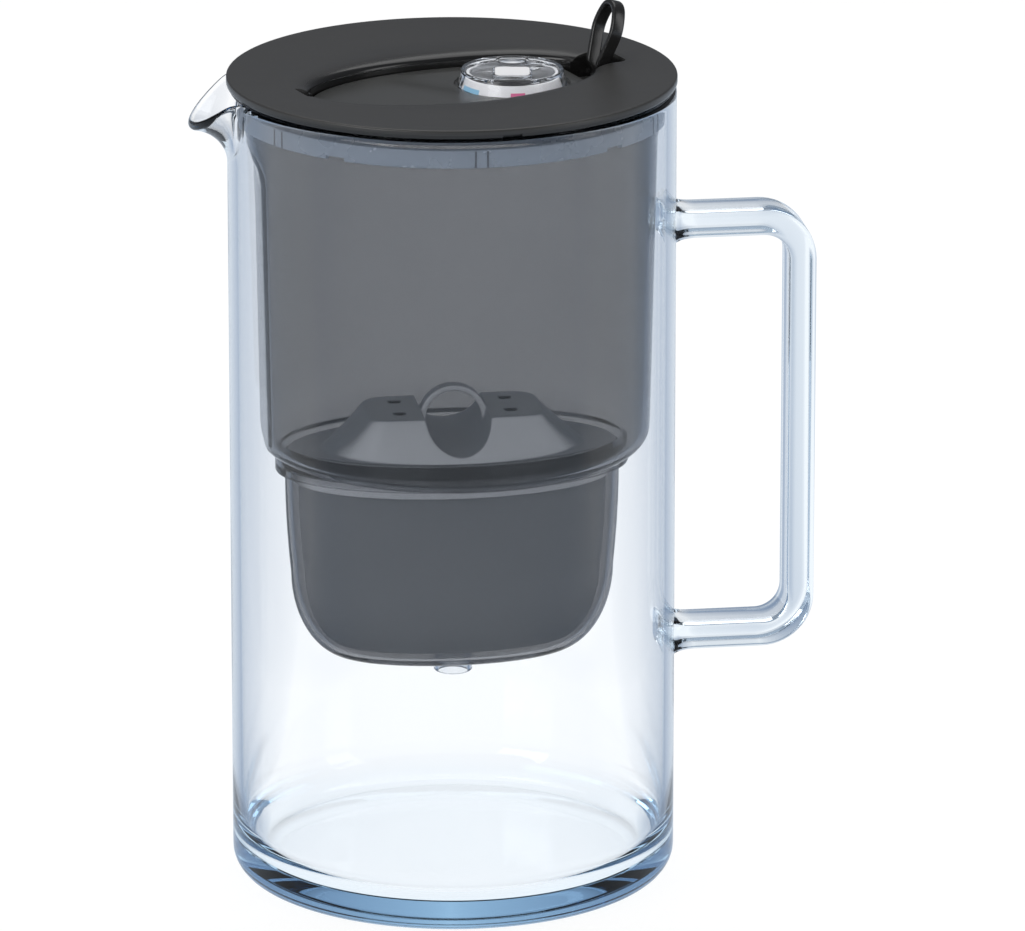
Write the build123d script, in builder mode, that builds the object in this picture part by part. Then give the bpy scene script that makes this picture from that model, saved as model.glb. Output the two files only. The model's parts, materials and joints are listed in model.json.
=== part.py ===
from build123d import *
import os
from math import atan, cos, degrees, radians, sin

# Water filter pitcher: a glass jug with a hopper hung in its mouth, an oval
# filter cartridge in the hopper's pocket, and a round lid with a flip flap.
# Millimetres. +Z is up, +X is the handle side, -X is the spout side, and the
# origin is the middle of the jug's underside.

HAIR = 0.1               # least step between faces that must not meet exactly
CUT = 5.0                # cutters run past the material by this

# --- glass jug -------------------------------------------------------------
JUG_R = 69.0             # outside radius of the jug
JUG_WALL = 3.0
RIM_Z = 252.0            # top of the glass
BASE_THICK = 7.5         # glass under the water
BASE_CORNER = 9.0        # outside corner radius at the foot
FLOOR_CORNER = 13.0      # inside corner radius at the floor
SPOUT_TURN = 6.0         # degrees, the spout points past -X by this, to the back
SPOUT_REACH = 11.9       # how far the tip stands out of the body
SPOUT_DROOP = 11.0       # how far the tip's middle lies below the rim
SPOUT_LEAN = 39.0        # degrees, the lip's plane falls towards the tip
SPOUT_LIP_R = 22.0       # radius of the lip, in its own plane
SPOUT_THROAT_R = 15.8    # radius of the spout under its flare
SPOUT_FLARE = 12.0       # height of the flare
SPOUT_DEPTH = 26.0       # how far down the throat runs, along its own axis
SPOUT_WALL = 2.7
SPOUT_LIP_SLOPE = 0.22   # the flare still climbs this steeply at its lip
RIM_ROUND = 0.45         # rim's radius as a share of the wall

# --- handle ----------------------------------------------------------------
HANDLE_TOP_DROP = 46.0   # middle of the upper arm, below the rim
HANDLE_LOW_Z = 74.0      # middle of the lower arm
HANDLE_REACH = 45.7      # outer face beyond the jug's side
HANDLE_WIDE = 16.0
HANDLE_THICK = 7.3
HANDLE_BEND = 16.5       # outside radius of the two bends
HANDLE_EDGE = 2.6        # softened edges of the strap
ROOT_EXTRA_WIDE = 4.0    # the welded root is wider than the strap
ROOT_EXTRA_TALL = 6.2
ROOT_LENGTH = 7.0
ROOT_WAIST = 0.4         # its flare has run out to ROOT_NECK at this share
ROOT_NECK = 1.7          # how much wider than the strap it still is there

# --- hopper ----------------------------------------------------------------
HOPPER_WALL = 2.0
HOPPER_DEEP = 114.0      # from the rim to the floor's underside
HOPPER_TAPER = 2.5       # radius lost from the collar to the floor
HOPPER_CORNER = 8.0
HOPPER_STEP = 0.4        # fine step under the collar
HOPPER_STEP_DROP = 12.0
MOUTH_RELIEF = 0.3       # the wall is this much thinner at the mouth
FLOOR_INSET = 0.3        # and its foot this far inside the taper
FLANGE_INSET = 0.6       # the flange ends this far inside the glass's edge
FLANGE_THICK = 1.2
FLUTE_DEEP = 2.4         # flat on the spout side that lets water past
FLUTE_DROP = 24.0        # its top, below the rim
FLUTE_RUNOUT = 8.0
FLUTE_TAPER_LOSS = 0.4   # the flat leans a little less than the wall
FLUTE_HALF = 40.0        # half width of the cutter
COLLAR_DROP = 8.6        # collar's lower edge, below the rim
COLLAR_TALL = 5.6
COLLAR_THICK = 1.6
COLLAR_GAP = 0.3         # ribs to the glass
COLLAR_FIT = 0.05
COLLAR_LEDGE = 0.6
COLLAR_RIB = 0.35        # ribs stand proud by this
RIB_WIDE = 0.8
RIB_PAIR_GAP = 3.6
RIB_PAIRS = 6
NOTCH_WIDE = 6.3
NOTCH_TALL = 1.2
NOTCH_ANGLES = (-130, -50, 50, 130)

# --- cartridge ---------------------------------------------------------------
CUP_A, CUP_B = 48.0, 25.2        # outside half axes at the top
CUP_TALL = 53.7
CUP_DRAFT = 1.8
CUP_SHOULDER = 24.0      # height of the big bottom corner
CUP_FLAT_A, CUP_FLAT_B = 33.0, 13.0
CUP_WALL = 1.5
CUP_DROP = 5.5           # cup's top edge, below the seal's seat
SLOT_LONG, SLOT_WIDE = 6.0, 1.6
SLOT_PITCH_X, SLOT_PITCH_Y = 7.0, 8.0
SEAL_GAP = 0.35          # seal to the well's wall
SEAL_TALL = 4.0
SEAL_WIDE = 3.4
SEAL_ROUND = 0.9
CAP_LIP = 0.9
CAP_LIP_INSET = 1.4
CAP_WALL = 1.6
HUMP_TALL = 12.8         # above the seal
HUMP_TOP_A, HUMP_TOP_B = 27.0, 13.8
HUMP_INSET_A, HUMP_INSET_B = 8.6, 2.2    # foot of the humps, inside the cap's edge
CHANNEL_R = 10.0
RING_R = 10.6            # finger arch
RING_THICK = 1.9
RING_WIDE = 5.0
RING_RISE = 7.2          # above the humps
VENT_X, VENT_Y = 17.3, 6.6
VENT_LONG, VENT_WIDE = 3.2, 2.0
HUMP_CORNER = 0.45       # corner radius of the humps' tops, as a share of their half width
HUMP_EDGE = 1.6
RING_CUT = 1.3           # the arch's ends are cut level, in shares of its radius
SCREEN_THICK = 0.6
SCREEN_GAP = 0.3
SCREEN_HOLE_R = 1.5
SCREEN_PITCH = 5.2
SCREEN_BORDER = 3.0
MEDIA_GAP = 0.4
MEDIA_FLAT_GAP = 1.0     # at the flat bottom
MEDIA_REST = 0.05

# --- pocket for the cartridge ------------------------------------------------
POCKET_GAP = 2.2         # cup to the pocket's wall
POCKET_DRAFT = 1.7
POCKET_CORNER_EXTRA = 4.0        # its bottom corner is taller than the cup's
POCKET_FLAT_INSET = 2.0
POCKET_FOOT_GAP = 1.8    # cup to the pocket's floor
SEAT_DROP = 5.0          # the seal's seat, below the hopper's floor
SEAT_LEDGE = 3.0         # pocket's wall to the well's wall
NOZZLE_R = 6.2
NOZZLE_BORE_R = 4.6
NOZZLE_HEAD_R = 7.4
NOZZLE_HEAD = 1.4
NOZZLE_TALL = 8.0        # below the pocket's floor
NOZZLE_FIT = 0.05
NOZZLE_CHAMFER = 1.2

# --- lid ---------------------------------------------------------------------
LID_TURN = 16.5          # the lid's long axis is turned from the handle
LID_OVERHANG = 0.2       # beyond the glass
LID_TALL = 2.8           # edge of the lid, above the flange
LID_DISH = 1.6           # the top is this much lower in the middle
LID_DISH_OUT = 0.65      # share of the radius where LID_DISH_LEFT of the dish is left
LID_DISH_LEFT = 0.58
LID_ROOT = 0.5           # walls under the plate run this far into it
LID_PLATE_LOW = 0.8      # plate's underside below the flange's top
LID_EDGE = 0.8
SKIRT_GAP = 0.7          # skirt to the hopper
SKIRT_WALL = 1.8
SKIRT_TALL = 4.6
RECESS_A, RECESS_B = 46.3, 26.3  # recess wall, half axes
RECESS_FLARE = 7.7       # soft edge beyond the wall
RECESS_FLARE_SIDE = 1.0  # and this much wider at its sides
FLARE_TALL = 4.0
FLARE_LEVELS = ((0.075, 1.0), (0.4, 0.5), (0.7, 0.13), (1.0, 0.0))  # share of its depth, of its width
RECESS_WALL = 2.0
FLAP_DROP = 5.5          # flap's top, below the lid's edge
FLAP_THICK = 2.0
FLAP_GAP = 0.5
FLAP_ROUND = 0.5
FLAP_END_INSET = 4.1     # straight end of the flap at the loop
LEDGE_WIDE = 2.0
LEDGE_THICK = 1.6
VENT_ANGLE = -82.5       # small air notch under the lid's edge
VENT_ACROSS = 6.0
VENT_DEEP = 1.6
VENT_TALL = 1.0
HINGE_OUT = 1.3          # hinge axis beyond the recess wall
HINGE_RISE = 0.9         # and above the flap
BARREL_R = 1.7
BARREL_HALF = 4.8
ARM_RISE = 0.45          # hinge arm's underside above the flap's
ARM_LENGTH = 4.2         # from the hinge axis into the flap
PIN_R = 0.8
PIN_HALF = 7.4
PIN_CLEAR = 0.06
PIN_GRIP = 0.01          # pin in the lid's ears
HINGE_POCKET_GAP = 0.3   # each side of the barrel
HINGE_POCKET_OUT = 2.8   # beyond the hinge axis
HINGE_POCKET_IN = 3.0    # and on its inner side
PIN_COVER = 0.9          # plastic past the pin's ends
TAB_DROP = 2.7           # tab's top, below the flap's
TAB_THICK = 2.0
TAB_HALF = 7.0
TAB_LENGTH = 8.3         # beyond the recess wall
TAB_GAP = 0.6
TAB_END_GAP = 1.4
TAB_CORNER = 2.0
TAB_BLOCK_WALL = 1.6     # lid's wall round the tab's pocket
TAB_POCKET_IN = 3.0      # the pocket reaches this far under the flap's end
RISER_THICK = 1.2        # wall between the flap's end and the tab
RISER_INSET = 0.6

# --- pull loop -----------------------------------------------------------------
LOOP_INSET = 3.8         # loop's pin, inside the tab's end
LOOP_PIN_RISE = 1.5      # and above the tab
LOOP_PIN_R = 0.8
LOOP_PIN_HALF = 4.2
LOOP_PIN_FIT = 0.02
LOOP_BAND = 5.0          # width of the strap
LOOP_THICK = 2.0
LOOP_HALF = 7.9          # half the loop's width, to the strap's middle
LOOP_TALL = 27.7         # from its pin to its crown
LOOP_LEAN = 8.0          # degrees, towards the handle
LOOP_SHAPE = ((0.8, 0.42), (1.0, 0.68), (0.62, 0.93))   # shares of half width and height, going up
EYE_BELOW = 1.0          # straight ends of the strap, below and above the pin
EYE_ABOVE = 1.5
LUG_HALF = 1.3
LUG_R = 1.8
LUG_GAP = 0.15

# --- dial ----------------------------------------------------------------------
DIAL_U = 20.4
DIAL_LUG_ANGLE = -98.2   # the window lug faces the front
DIAL_LOW_R = 16.9
DIAL_TAPER = 1.15        # radius lost from foot to top
DIAL_TALL = 5.45
DIAL_FOOT_GAP = 0.35     # over the floor of its well
DIAL_WALL = 1.3
DIAL_ROOF = 1.6
DIAL_EDGE = 0.7
DIAL_CROWN = 0.25
DIAL_WELL_GAP = 1.1      # round the dial
DIAL_WELL_DEEP = 1.1
DIAL_BOSS_WALL = 1.3
DIMPLE_R = 5.15
DIMPLE_OUT = 9.5
DIMPLE_DEEP = 0.4
DIMPLE_WIDE = 0.8
WINDOW_LONG, WINDOW_WIDE = 11.4, 12.0
WINDOW_OUT = 8.6
WINDOW_TALL = 1.3
WINDOW_ROUND = 1.8
WINDOW_EDGE = 0.6
STEM_R = 2.5
STEM_CLEAR = 0.06
STEM_EDGE = 0.3
HUB_GAP = 0.6            # hub to the dial's roof
HUB_EDGE = 0.4
SCALE_WALL = 0.9
SCALE_GAP = 0.35
SCALE_FIT = 0.05
BUSH_WALL = 2.0
BUSH_TALL = 1.6
CLIP_WIDE = 1.7
CLIP_THICK = 0.7
CLIP_GAP = 0.25
CLIP_FIT = 0.02
CLIP_BORE_FIT = 0.05
GROOVE_DEEP = 0.4

os.makedirs("parts", exist_ok=True)

# --- places worked out from the sizes above ---------------------------------------
jug_inner_r = JUG_R - JUG_WALL
handle_top_z = RIM_Z - HANDLE_TOP_DROP

hopper_top_r = jug_inner_r - COLLAR_GAP - COLLAR_RIB - COLLAR_THICK - COLLAR_FIT
hopper_low_r = hopper_top_r - HOPPER_TAPER
hopper_mouth_r = hopper_top_r - HOPPER_STEP - HOPPER_WALL + MOUTH_RELIEF
hopper_floor_z = RIM_Z - HOPPER_DEEP
hopper_step_z = RIM_Z - HOPPER_STEP_DROP
flute_top_z = RIM_Z - FLUTE_DROP
collar_seat_z = RIM_Z - COLLAR_DROP
flange_r = JUG_R - FLANGE_INSET
flange_top_z = RIM_Z + FLANGE_THICK

seat_z = hopper_floor_z - SEAT_DROP
cup_top_z = seat_z - CUP_DROP
cup_low_z = cup_top_z - CUP_TALL
pocket_a = CUP_A + POCKET_GAP
pocket_b = CUP_B + POCKET_GAP
pocket_shoulder = CUP_SHOULDER + POCKET_CORNER_EXTRA
pocket_flat_a = CUP_FLAT_A - POCKET_FLAT_INSET
pocket_flat_b = CUP_FLAT_B
pocket_floor_z = cup_low_z - POCKET_FOOT_GAP
well_a = pocket_a + SEAT_LEDGE
well_b = pocket_b + SEAT_LEDGE
nozzle_low_z = pocket_floor_z - NOZZLE_TALL
seal_top_z = seat_z + SEAL_TALL
seal_a = well_a - SEAL_GAP
seal_b = well_b - SEAL_GAP
cap_a = seal_a - SEAL_WIDE
cap_b = seal_b - SEAL_WIDE
hump_top_z = seal_top_z + HUMP_TALL
hump_low_a = cap_a - HUMP_INSET_A
hump_low_b = cap_b - HUMP_INSET_B
ring_top_z = hump_top_z + RING_RISE

lid_r = JUG_R + LID_OVERHANG
lid_top_z = flange_top_z + LID_TALL
skirt_r = hopper_mouth_r - SKIRT_GAP
flap_top_z = lid_top_z - FLAP_DROP
flap_low_z = flap_top_z - FLAP_THICK
flap_end_u = RECESS_A - FLAP_END_INSET
hinge_u = -(RECESS_A + HINGE_OUT)
hinge_z = flap_top_z + HINGE_RISE
hinge_pocket_half = BARREL_HALF + HINGE_POCKET_GAP
hinge_pocket_end = hinge_u - HINGE_POCKET_OUT
tab_top_z = flap_top_z - TAB_DROP
tab_end_u = RECESS_A + TAB_LENGTH
tab_pocket_end = tab_end_u + TAB_END_GAP
loop_u = tab_end_u - LOOP_INSET
loop_pin_z = tab_top_z + LOOP_PIN_RISE

dial_well_r = DIAL_LOW_R + DIAL_WELL_GAP
dial_well_z = flap_top_z - DIAL_WELL_DEEP
dial_boss_r = dial_well_r + DIAL_BOSS_WALL
dial_boss_z = flap_low_z - DIAL_BOSS_WALL
bush_low_z = dial_boss_z - BUSH_TALL
dial_top_r = DIAL_LOW_R - DIAL_TAPER
dial_low_z = dial_well_z + DIAL_FOOT_GAP
dial_top_z = dial_low_z + DIAL_TALL
roof_low_z = dial_top_z - DIAL_ROOF
hub_top_z = roof_low_z - HUB_GAP
scale_low_r = DIAL_LOW_R - DIAL_WALL - SCALE_GAP
scale_top_r = dial_top_r - DIAL_WALL - SCALE_GAP
hub_r = scale_top_r - SCALE_WALL
clip_top_z = bush_low_z - CLIP_GAP
stem_low_z = clip_top_z - 2 * CLIP_THICK

turn_u = (cos(radians(LID_TURN)), sin(radians(LID_TURN)))
dial_x = DIAL_U * turn_u[0]
dial_y = DIAL_U * turn_u[1]


def lid_plane(height):
    """Level plane whose x runs along the lid's long axis."""
    return Plane(origin=(0, 0, height), x_dir=(turn_u[0], turn_u[1], 0), z_dir=(0, 0, 1))


def lid_side():
    """Upright plane through the lid's long axis: x is along it, y is up."""
    return Plane(origin=(0, 0, 0), x_dir=(turn_u[0], turn_u[1], 0), z_dir=(turn_u[1], -turn_u[0], 0))


def dial_plane(height):
    """Level plane on the dial's axis whose x points at the window lug."""
    aim = radians(DIAL_LUG_ANGLE)
    return Plane(origin=(dial_x, dial_y, height), x_dir=(cos(aim), sin(aim), 0), z_dir=(0, 0, 1))


def dial_side():
    """Upright plane through the dial's axis: x is the radius, y is up."""
    aim = radians(DIAL_LUG_ANGLE)
    return Plane(origin=(dial_x, dial_y, 0), x_dir=(cos(aim), sin(aim), 0), z_dir=(sin(aim), -cos(aim), 0))


dial_axis = Axis((dial_x, dial_y, 0), (0, 0, 1))


def spout_plane():
    """Upright plane through the spout: x runs along the lip to its tip, y is the spout's leaning axis."""
    lean, turn = radians(SPOUT_LEAN), radians(SPOUT_TURN)
    reach = JUG_R + SPOUT_REACH - SPOUT_LIP_R * cos(lean)
    height = RIM_Z - SPOUT_DROOP + SPOUT_LIP_R * sin(lean)
    return Plane(
        origin=(-reach * cos(turn), reach * sin(turn), height),
        x_dir=(-cos(lean) * cos(turn), cos(lean) * sin(turn), -sin(lean)),
        z_dir=(sin(turn), cos(turn), 0),
    )


def cup_levels(top, a, b, draft, shoulder, flat_a, flat_b, low):
    """Half axes and height of each oval from the mouth to the flat bottom."""
    levels = []
    for share in (0.0, 0.33, 0.67):
        drawn_in = draft * share ** 2
        levels.append((top - (top - low - shoulder) * share, a - drawn_in, b - drawn_in))
    for angle in (0, 22, 44, 66, 90):
        across = cos(radians(angle))
        drop = 1 - sin(radians(angle))
        level_a = flat_a + (a - draft - flat_a) * across
        level_b = flat_b + (b - draft - flat_b) * across
        levels.append((low + shoulder * drop, level_a, level_b))
    return levels


def oval(height, a, b):
    with BuildSketch(Plane.XY.offset(height)) as level:
        Ellipse(a, b)
    return level.sketch


def oval_loft(levels, mode=Mode.ADD):
    loft(sections=[oval(*level) for level in levels], mode=mode)


def oval_block(low, height, a, b, mode=Mode.ADD):
    extrude(oval(low, a, b), amount=height, mode=mode)


def save(piece, name):
    piece.part.label = name
    export_step(piece.part, f"parts/{name}.step")


# --- glass jug ------------------------------------------------------------------------
spout_axis = Axis(spout_plane().origin, spout_plane().y_dir)
lip_half = SPOUT_WALL / 2
lip_mid = SPOUT_LIP_R - lip_half
throat_in = SPOUT_THROAT_R - SPOUT_WALL
flare_ends = ((0, 1), (1, SPOUT_LIP_SLOPE))
with BuildPart() as spout_outside:
    with BuildSketch(spout_plane()):
        with BuildLine():
            Polyline((0, lip_half), (0, -SPOUT_DEPTH), (SPOUT_THROAT_R, -SPOUT_DEPTH),
                     (SPOUT_THROAT_R, -SPOUT_FLARE))
            Spline((SPOUT_THROAT_R, -SPOUT_FLARE), (lip_mid, -lip_half), tangents=flare_ends)
            ThreePointArc((lip_mid, -lip_half), (SPOUT_LIP_R, 0), (lip_mid, lip_half))
            Line((lip_mid, lip_half), (0, lip_half))
        make_face()
    revolve(axis=spout_axis)
    with BuildSketch(Plane.XY):
        Circle(jug_inner_r + JUG_WALL / 2)
    extrude(amount=RIM_Z + SPOUT_LIP_R, mode=Mode.SUBTRACT)
    split(bisect_by=Plane.XY.offset(RIM_Z), keep=Keep.BOTTOM)

with BuildPart() as spout_channel:
    with BuildSketch(spout_plane()):
        with BuildLine():
            Polyline((0, SPOUT_LIP_R), (0, -SPOUT_DEPTH), (throat_in, -SPOUT_DEPTH),
                     (throat_in, -SPOUT_FLARE))
            Spline((throat_in, -SPOUT_FLARE), (lip_mid, lip_half), tangents=flare_ends)
            Polyline((lip_mid, lip_half), (lip_mid, SPOUT_LIP_R), (0, SPOUT_LIP_R))
        make_face()
    revolve(axis=spout_axis)

with BuildPart() as glass_jug:
    with BuildSketch(Plane.XZ):
        with BuildLine():
            FilletPolyline(
                (0, 0), (JUG_R, 0), (JUG_R, RIM_Z), (jug_inner_r, RIM_Z),
                (jug_inner_r, BASE_THICK), (0, BASE_THICK),
                radius=(BASE_CORNER, JUG_WALL * RIM_ROUND, JUG_WALL * RIM_ROUND, FLOOR_CORNER),
            )
            Line((0, BASE_THICK), (0, 0))
        make_face()
    revolve(axis=Axis.Z)
    add(spout_outside.part)
    add(spout_channel.part, mode=Mode.SUBTRACT)
save(glass_jug, "glass_jug")

# --- glass handle ---------------------------------------------------------------------
handle_out = JUG_R + HANDLE_REACH
handle_in = handle_out - HANDLE_THICK
half_thick = HANDLE_THICK / 2
inner_bend = HANDLE_BEND - HANDLE_THICK
root_levels = (
    (jug_inner_r, ROOT_EXTRA_WIDE * 1.5, ROOT_EXTRA_TALL * 1.5, HANDLE_EDGE * 2),
    (JUG_R + ROOT_LENGTH * ROOT_WAIST, ROOT_NECK, ROOT_NECK, HANDLE_EDGE * 1.3),
    (JUG_R + ROOT_LENGTH, HAIR, HAIR, HANDLE_EDGE),
)
with BuildPart() as glass_handle:
    with BuildSketch(Plane.XZ):
        with BuildLine():
            FilletPolyline(
                (jug_inner_r, handle_top_z + half_thick), (handle_out, handle_top_z + half_thick),
                (handle_out, HANDLE_LOW_Z - half_thick), (jug_inner_r, HANDLE_LOW_Z - half_thick),
                radius=HANDLE_BEND,
            )
            Line((jug_inner_r, HANDLE_LOW_Z - half_thick), (jug_inner_r, HANDLE_LOW_Z + half_thick))
            FilletPolyline(
                (jug_inner_r, HANDLE_LOW_Z + half_thick), (handle_in, HANDLE_LOW_Z + half_thick),
                (handle_in, handle_top_z - half_thick), (jug_inner_r, handle_top_z - half_thick),
                radius=inner_bend,
            )
            Line((jug_inner_r, handle_top_z - half_thick), (jug_inner_r, handle_top_z + half_thick))
        make_face()
    extrude(amount=HANDLE_WIDE / 2, both=True)
    strap_edges = glass_handle.edges().filter_by(lambda edge: abs(edge.center().X - jug_inner_r) > 0.01)
    strap_edges = strap_edges.filter_by(lambda edge: abs(abs(edge.center().Y) - HANDLE_WIDE / 2) < 0.01)
    fillet(strap_edges, radius=HANDLE_EDGE)
    for arm_z in (handle_top_z, HANDLE_LOW_Z):
        for root_x, wider, taller, edge in root_levels:
            with BuildSketch(Plane.YZ.offset(root_x)):
                with Locations((0, arm_z)):
                    RectangleRounded(HANDLE_WIDE + wider, HANDLE_THICK + taller, edge)
        loft()
    with BuildSketch(Plane.XY):
        Circle(JUG_R)
    extrude(amount=RIM_Z, mode=Mode.SUBTRACT)
save(glass_handle, "glass_handle")

# --- hopper -----------------------------------------------------------------------------
floor_in_z = hopper_floor_z + HOPPER_WALL
well_low_z = seat_z - HOPPER_WALL
pocket_inner = cup_levels(seat_z, pocket_a, pocket_b, POCKET_DRAFT, pocket_shoulder,
                          pocket_flat_a, pocket_flat_b, pocket_floor_z)
pocket_outer = cup_levels(seat_z, pocket_a + HOPPER_WALL, pocket_b + HOPPER_WALL, POCKET_DRAFT,
                          pocket_shoulder + HOPPER_WALL, pocket_flat_a + HOPPER_WALL / 2,
                          pocket_flat_b + HOPPER_WALL / 2,
                          pocket_floor_z - HOPPER_WALL)


def flute(shift, mode):
    """Flat on the spout side, with a sloping run-out at its top."""
    flat_top = hopper_top_r - FLUTE_DEEP - shift - FLUTE_TAPER_LOSS
    flat_low = hopper_low_r - FLUTE_DEEP - shift
    out_x = hopper_top_r - shift + 5 * HAIR
    runout_z = flute_top_z + FLUTE_RUNOUT
    belly = (-(flat_top + out_x - 1) / 2, flute_top_z + FLUTE_RUNOUT * 0.45)
    with BuildSketch(Plane.XZ) as side:
        with BuildLine():
            Polyline((-flat_top, flute_top_z), (-flat_low, hopper_floor_z - CUT),
                     (-JUG_R - CUT, hopper_floor_z - CUT), (-JUG_R - CUT, runout_z), (-out_x, runout_z))
            ThreePointArc((-out_x, runout_z), belly, (-flat_top, flute_top_z))
        make_face()
    extrude(side.sketch, amount=FLUTE_HALF, both=True, mode=mode)


with BuildPart() as hopper_outside:
    with BuildSketch(Plane.XZ):
        with BuildLine():
            FilletPolyline(
                (0, hopper_floor_z), (hopper_low_r - FLOOR_INSET, hopper_floor_z),
                (hopper_top_r - HOPPER_STEP, hopper_step_z),
                radius=HOPPER_CORNER,
            )
            Polyline(
                (hopper_top_r - HOPPER_STEP, hopper_step_z), (hopper_top_r, hopper_step_z),
                (hopper_top_r, collar_seat_z - COLLAR_LEDGE),
                (hopper_top_r + COLLAR_LEDGE, collar_seat_z - COLLAR_LEDGE),
                (hopper_top_r + COLLAR_LEDGE, collar_seat_z), (hopper_top_r, collar_seat_z),
                (hopper_top_r, RIM_Z), (flange_r, RIM_Z), (flange_r, flange_top_z),
                (0, flange_top_z), (0, hopper_floor_z),
            )
        make_face()
    revolve(axis=Axis.Z)
    flute(0, Mode.SUBTRACT)
    oval_block(well_low_z, hopper_floor_z - well_low_z + 1, well_a + HOPPER_WALL, well_b + HOPPER_WALL)
    oval_loft(pocket_outer)

with BuildPart() as hopper_inside:
    with BuildSketch(Plane.XZ):
        with BuildLine():
            FilletPolyline(
                (0, floor_in_z), (hopper_low_r - HOPPER_WALL - FLOOR_INSET, floor_in_z),
                (hopper_mouth_r, flange_top_z + CUT),
                radius=HOPPER_CORNER - HOPPER_WALL,
            )
            Polyline((hopper_mouth_r, flange_top_z + CUT), (0, flange_top_z + CUT), (0, floor_in_z))
        make_face()
    revolve(axis=Axis.Z)
    flute(HOPPER_WALL, Mode.SUBTRACT)
    oval_block(seat_z, floor_in_z - seat_z + 1, well_a, well_b)
    oval_loft(pocket_inner)
    oval_block(seat_z - 0.5, 1, pocket_a, pocket_b)
    with BuildSketch(Plane.XY.offset(nozzle_low_z)):
        Circle(NOZZLE_R + NOZZLE_FIT)
    extrude(amount=pocket_floor_z - nozzle_low_z + 1)

with BuildPart() as hopper:
    add(hopper_outside.part)
    add(hopper_inside.part, mode=Mode.SUBTRACT)
save(hopper, "hopper")

collar_in = hopper_top_r + COLLAR_FIT
collar_out = collar_in + COLLAR_THICK
with BuildPart() as hopper_collar:
    with BuildSketch(Plane.XY.offset(collar_seat_z)):
        Circle(collar_out)
        Circle(collar_in, mode=Mode.SUBTRACT)
        for pair in range(RIB_PAIRS):
            for side in (-1, 1):
                spread = degrees(atan(side * RIB_PAIR_GAP / 2 / collar_out))
                with PolarLocations(collar_out, 1, start_angle=-90 + pair * 360 / RIB_PAIRS + spread):
                    Rectangle(COLLAR_RIB * 2, RIB_WIDE)
    extrude(amount=COLLAR_TALL)
    with BuildSketch(Plane.XY.offset(collar_seat_z)):
        for notch_angle in NOTCH_ANGLES:
            with PolarLocations(collar_out, 1, start_angle=notch_angle):
                Rectangle(COLLAR_THICK * 3, NOTCH_WIDE)
    extrude(amount=NOTCH_TALL, mode=Mode.SUBTRACT)
save(hopper_collar, "hopper_collar")

with BuildPart() as drip_nozzle:
    with BuildSketch(Plane.XZ):
        Polygon(
            (NOZZLE_BORE_R, nozzle_low_z), (NOZZLE_R - NOZZLE_CHAMFER / 2, nozzle_low_z),
            (NOZZLE_R, nozzle_low_z + NOZZLE_CHAMFER),
            (NOZZLE_R, pocket_floor_z), (NOZZLE_HEAD_R, pocket_floor_z),
            (NOZZLE_HEAD_R, pocket_floor_z + NOZZLE_HEAD),
            (NOZZLE_BORE_R, pocket_floor_z + NOZZLE_HEAD), align=None,
        )
    revolve(axis=Axis.Z)
save(drip_nozzle, "drip_nozzle")

# --- cartridge ----------------------------------------------------------------------------
with BuildPart() as cartridge_seal:
    oval_block(seat_z, SEAL_TALL, seal_a, seal_b)
    oval_block(seat_z, SEAL_TALL, cap_a + HAIR, cap_b + HAIR, Mode.SUBTRACT)
    rim = cartridge_seal.faces().sort_by(Axis.Z)[-1].edges()
    fillet(rim.sort_by(SortBy.LENGTH)[-1], radius=SEAL_ROUND)
save(cartridge_seal, "cartridge_seal")

cup_outer = cup_levels(cup_top_z, CUP_A, CUP_B, CUP_DRAFT, CUP_SHOULDER, CUP_FLAT_A, CUP_FLAT_B, cup_low_z)
cup_inner = cup_levels(cup_top_z, CUP_A - CUP_WALL, CUP_B - CUP_WALL, CUP_DRAFT, CUP_SHOULDER,
                       CUP_FLAT_A - CUP_WALL, CUP_FLAT_B - CUP_WALL, cup_low_z + CUP_WALL)
with BuildPart() as cartridge_cup:
    oval_loft(cup_outer)
    oval_loft(cup_inner, Mode.SUBTRACT)
    oval_block(cup_top_z - 0.5, 1, CUP_A - CUP_WALL, CUP_B - CUP_WALL, Mode.SUBTRACT)
    with BuildSketch(Plane.XY.offset(cup_low_z - 1)):
        with GridLocations(SLOT_PITCH_X, SLOT_PITCH_Y, 7, 2):
            SlotOverall(SLOT_LONG, SLOT_WIDE, rotation=90)
    extrude(amount=CUP_WALL + 2, mode=Mode.SUBTRACT)
save(cartridge_cup, "cartridge_cup")

cap_plate_z = seal_top_z - CAP_WALL
with BuildPart() as cap_outside:
    oval_block(cup_top_z, seal_top_z - cup_top_z, cap_a, cap_b)
    oval_block(seal_top_z, CAP_LIP, seal_a - CAP_LIP_INSET, seal_b - CAP_LIP_INSET)
    with BuildSketch(Plane.XY.offset(seal_top_z + CAP_LIP)):
        Ellipse(hump_low_a, hump_low_b)
    with BuildSketch(Plane.XY.offset(hump_top_z)):
        RectangleRounded(HUMP_TOP_A * 2, HUMP_TOP_B * 2, HUMP_TOP_B * HUMP_CORNER)
    loft()
    fillet(cap_outside.faces().sort_by(Axis.Z)[-1].edges(), radius=HUMP_EDGE)
    with BuildSketch(Plane.XZ):
        with Locations((0, hump_top_z)):
            Circle(CHANNEL_R)
            with Locations((0, CHANNEL_R)):
                Rectangle(CHANNEL_R * 2, CHANNEL_R * 2)
    extrude(amount=well_b, both=True, mode=Mode.SUBTRACT)
    with BuildSketch(Plane.XY.offset(hump_top_z)):
        with GridLocations(VENT_X * 2, VENT_Y * 2, 2, 2):
            Rectangle(VENT_LONG, VENT_WIDE)
    extrude(amount=-4 * CAP_WALL, mode=Mode.SUBTRACT)

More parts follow.
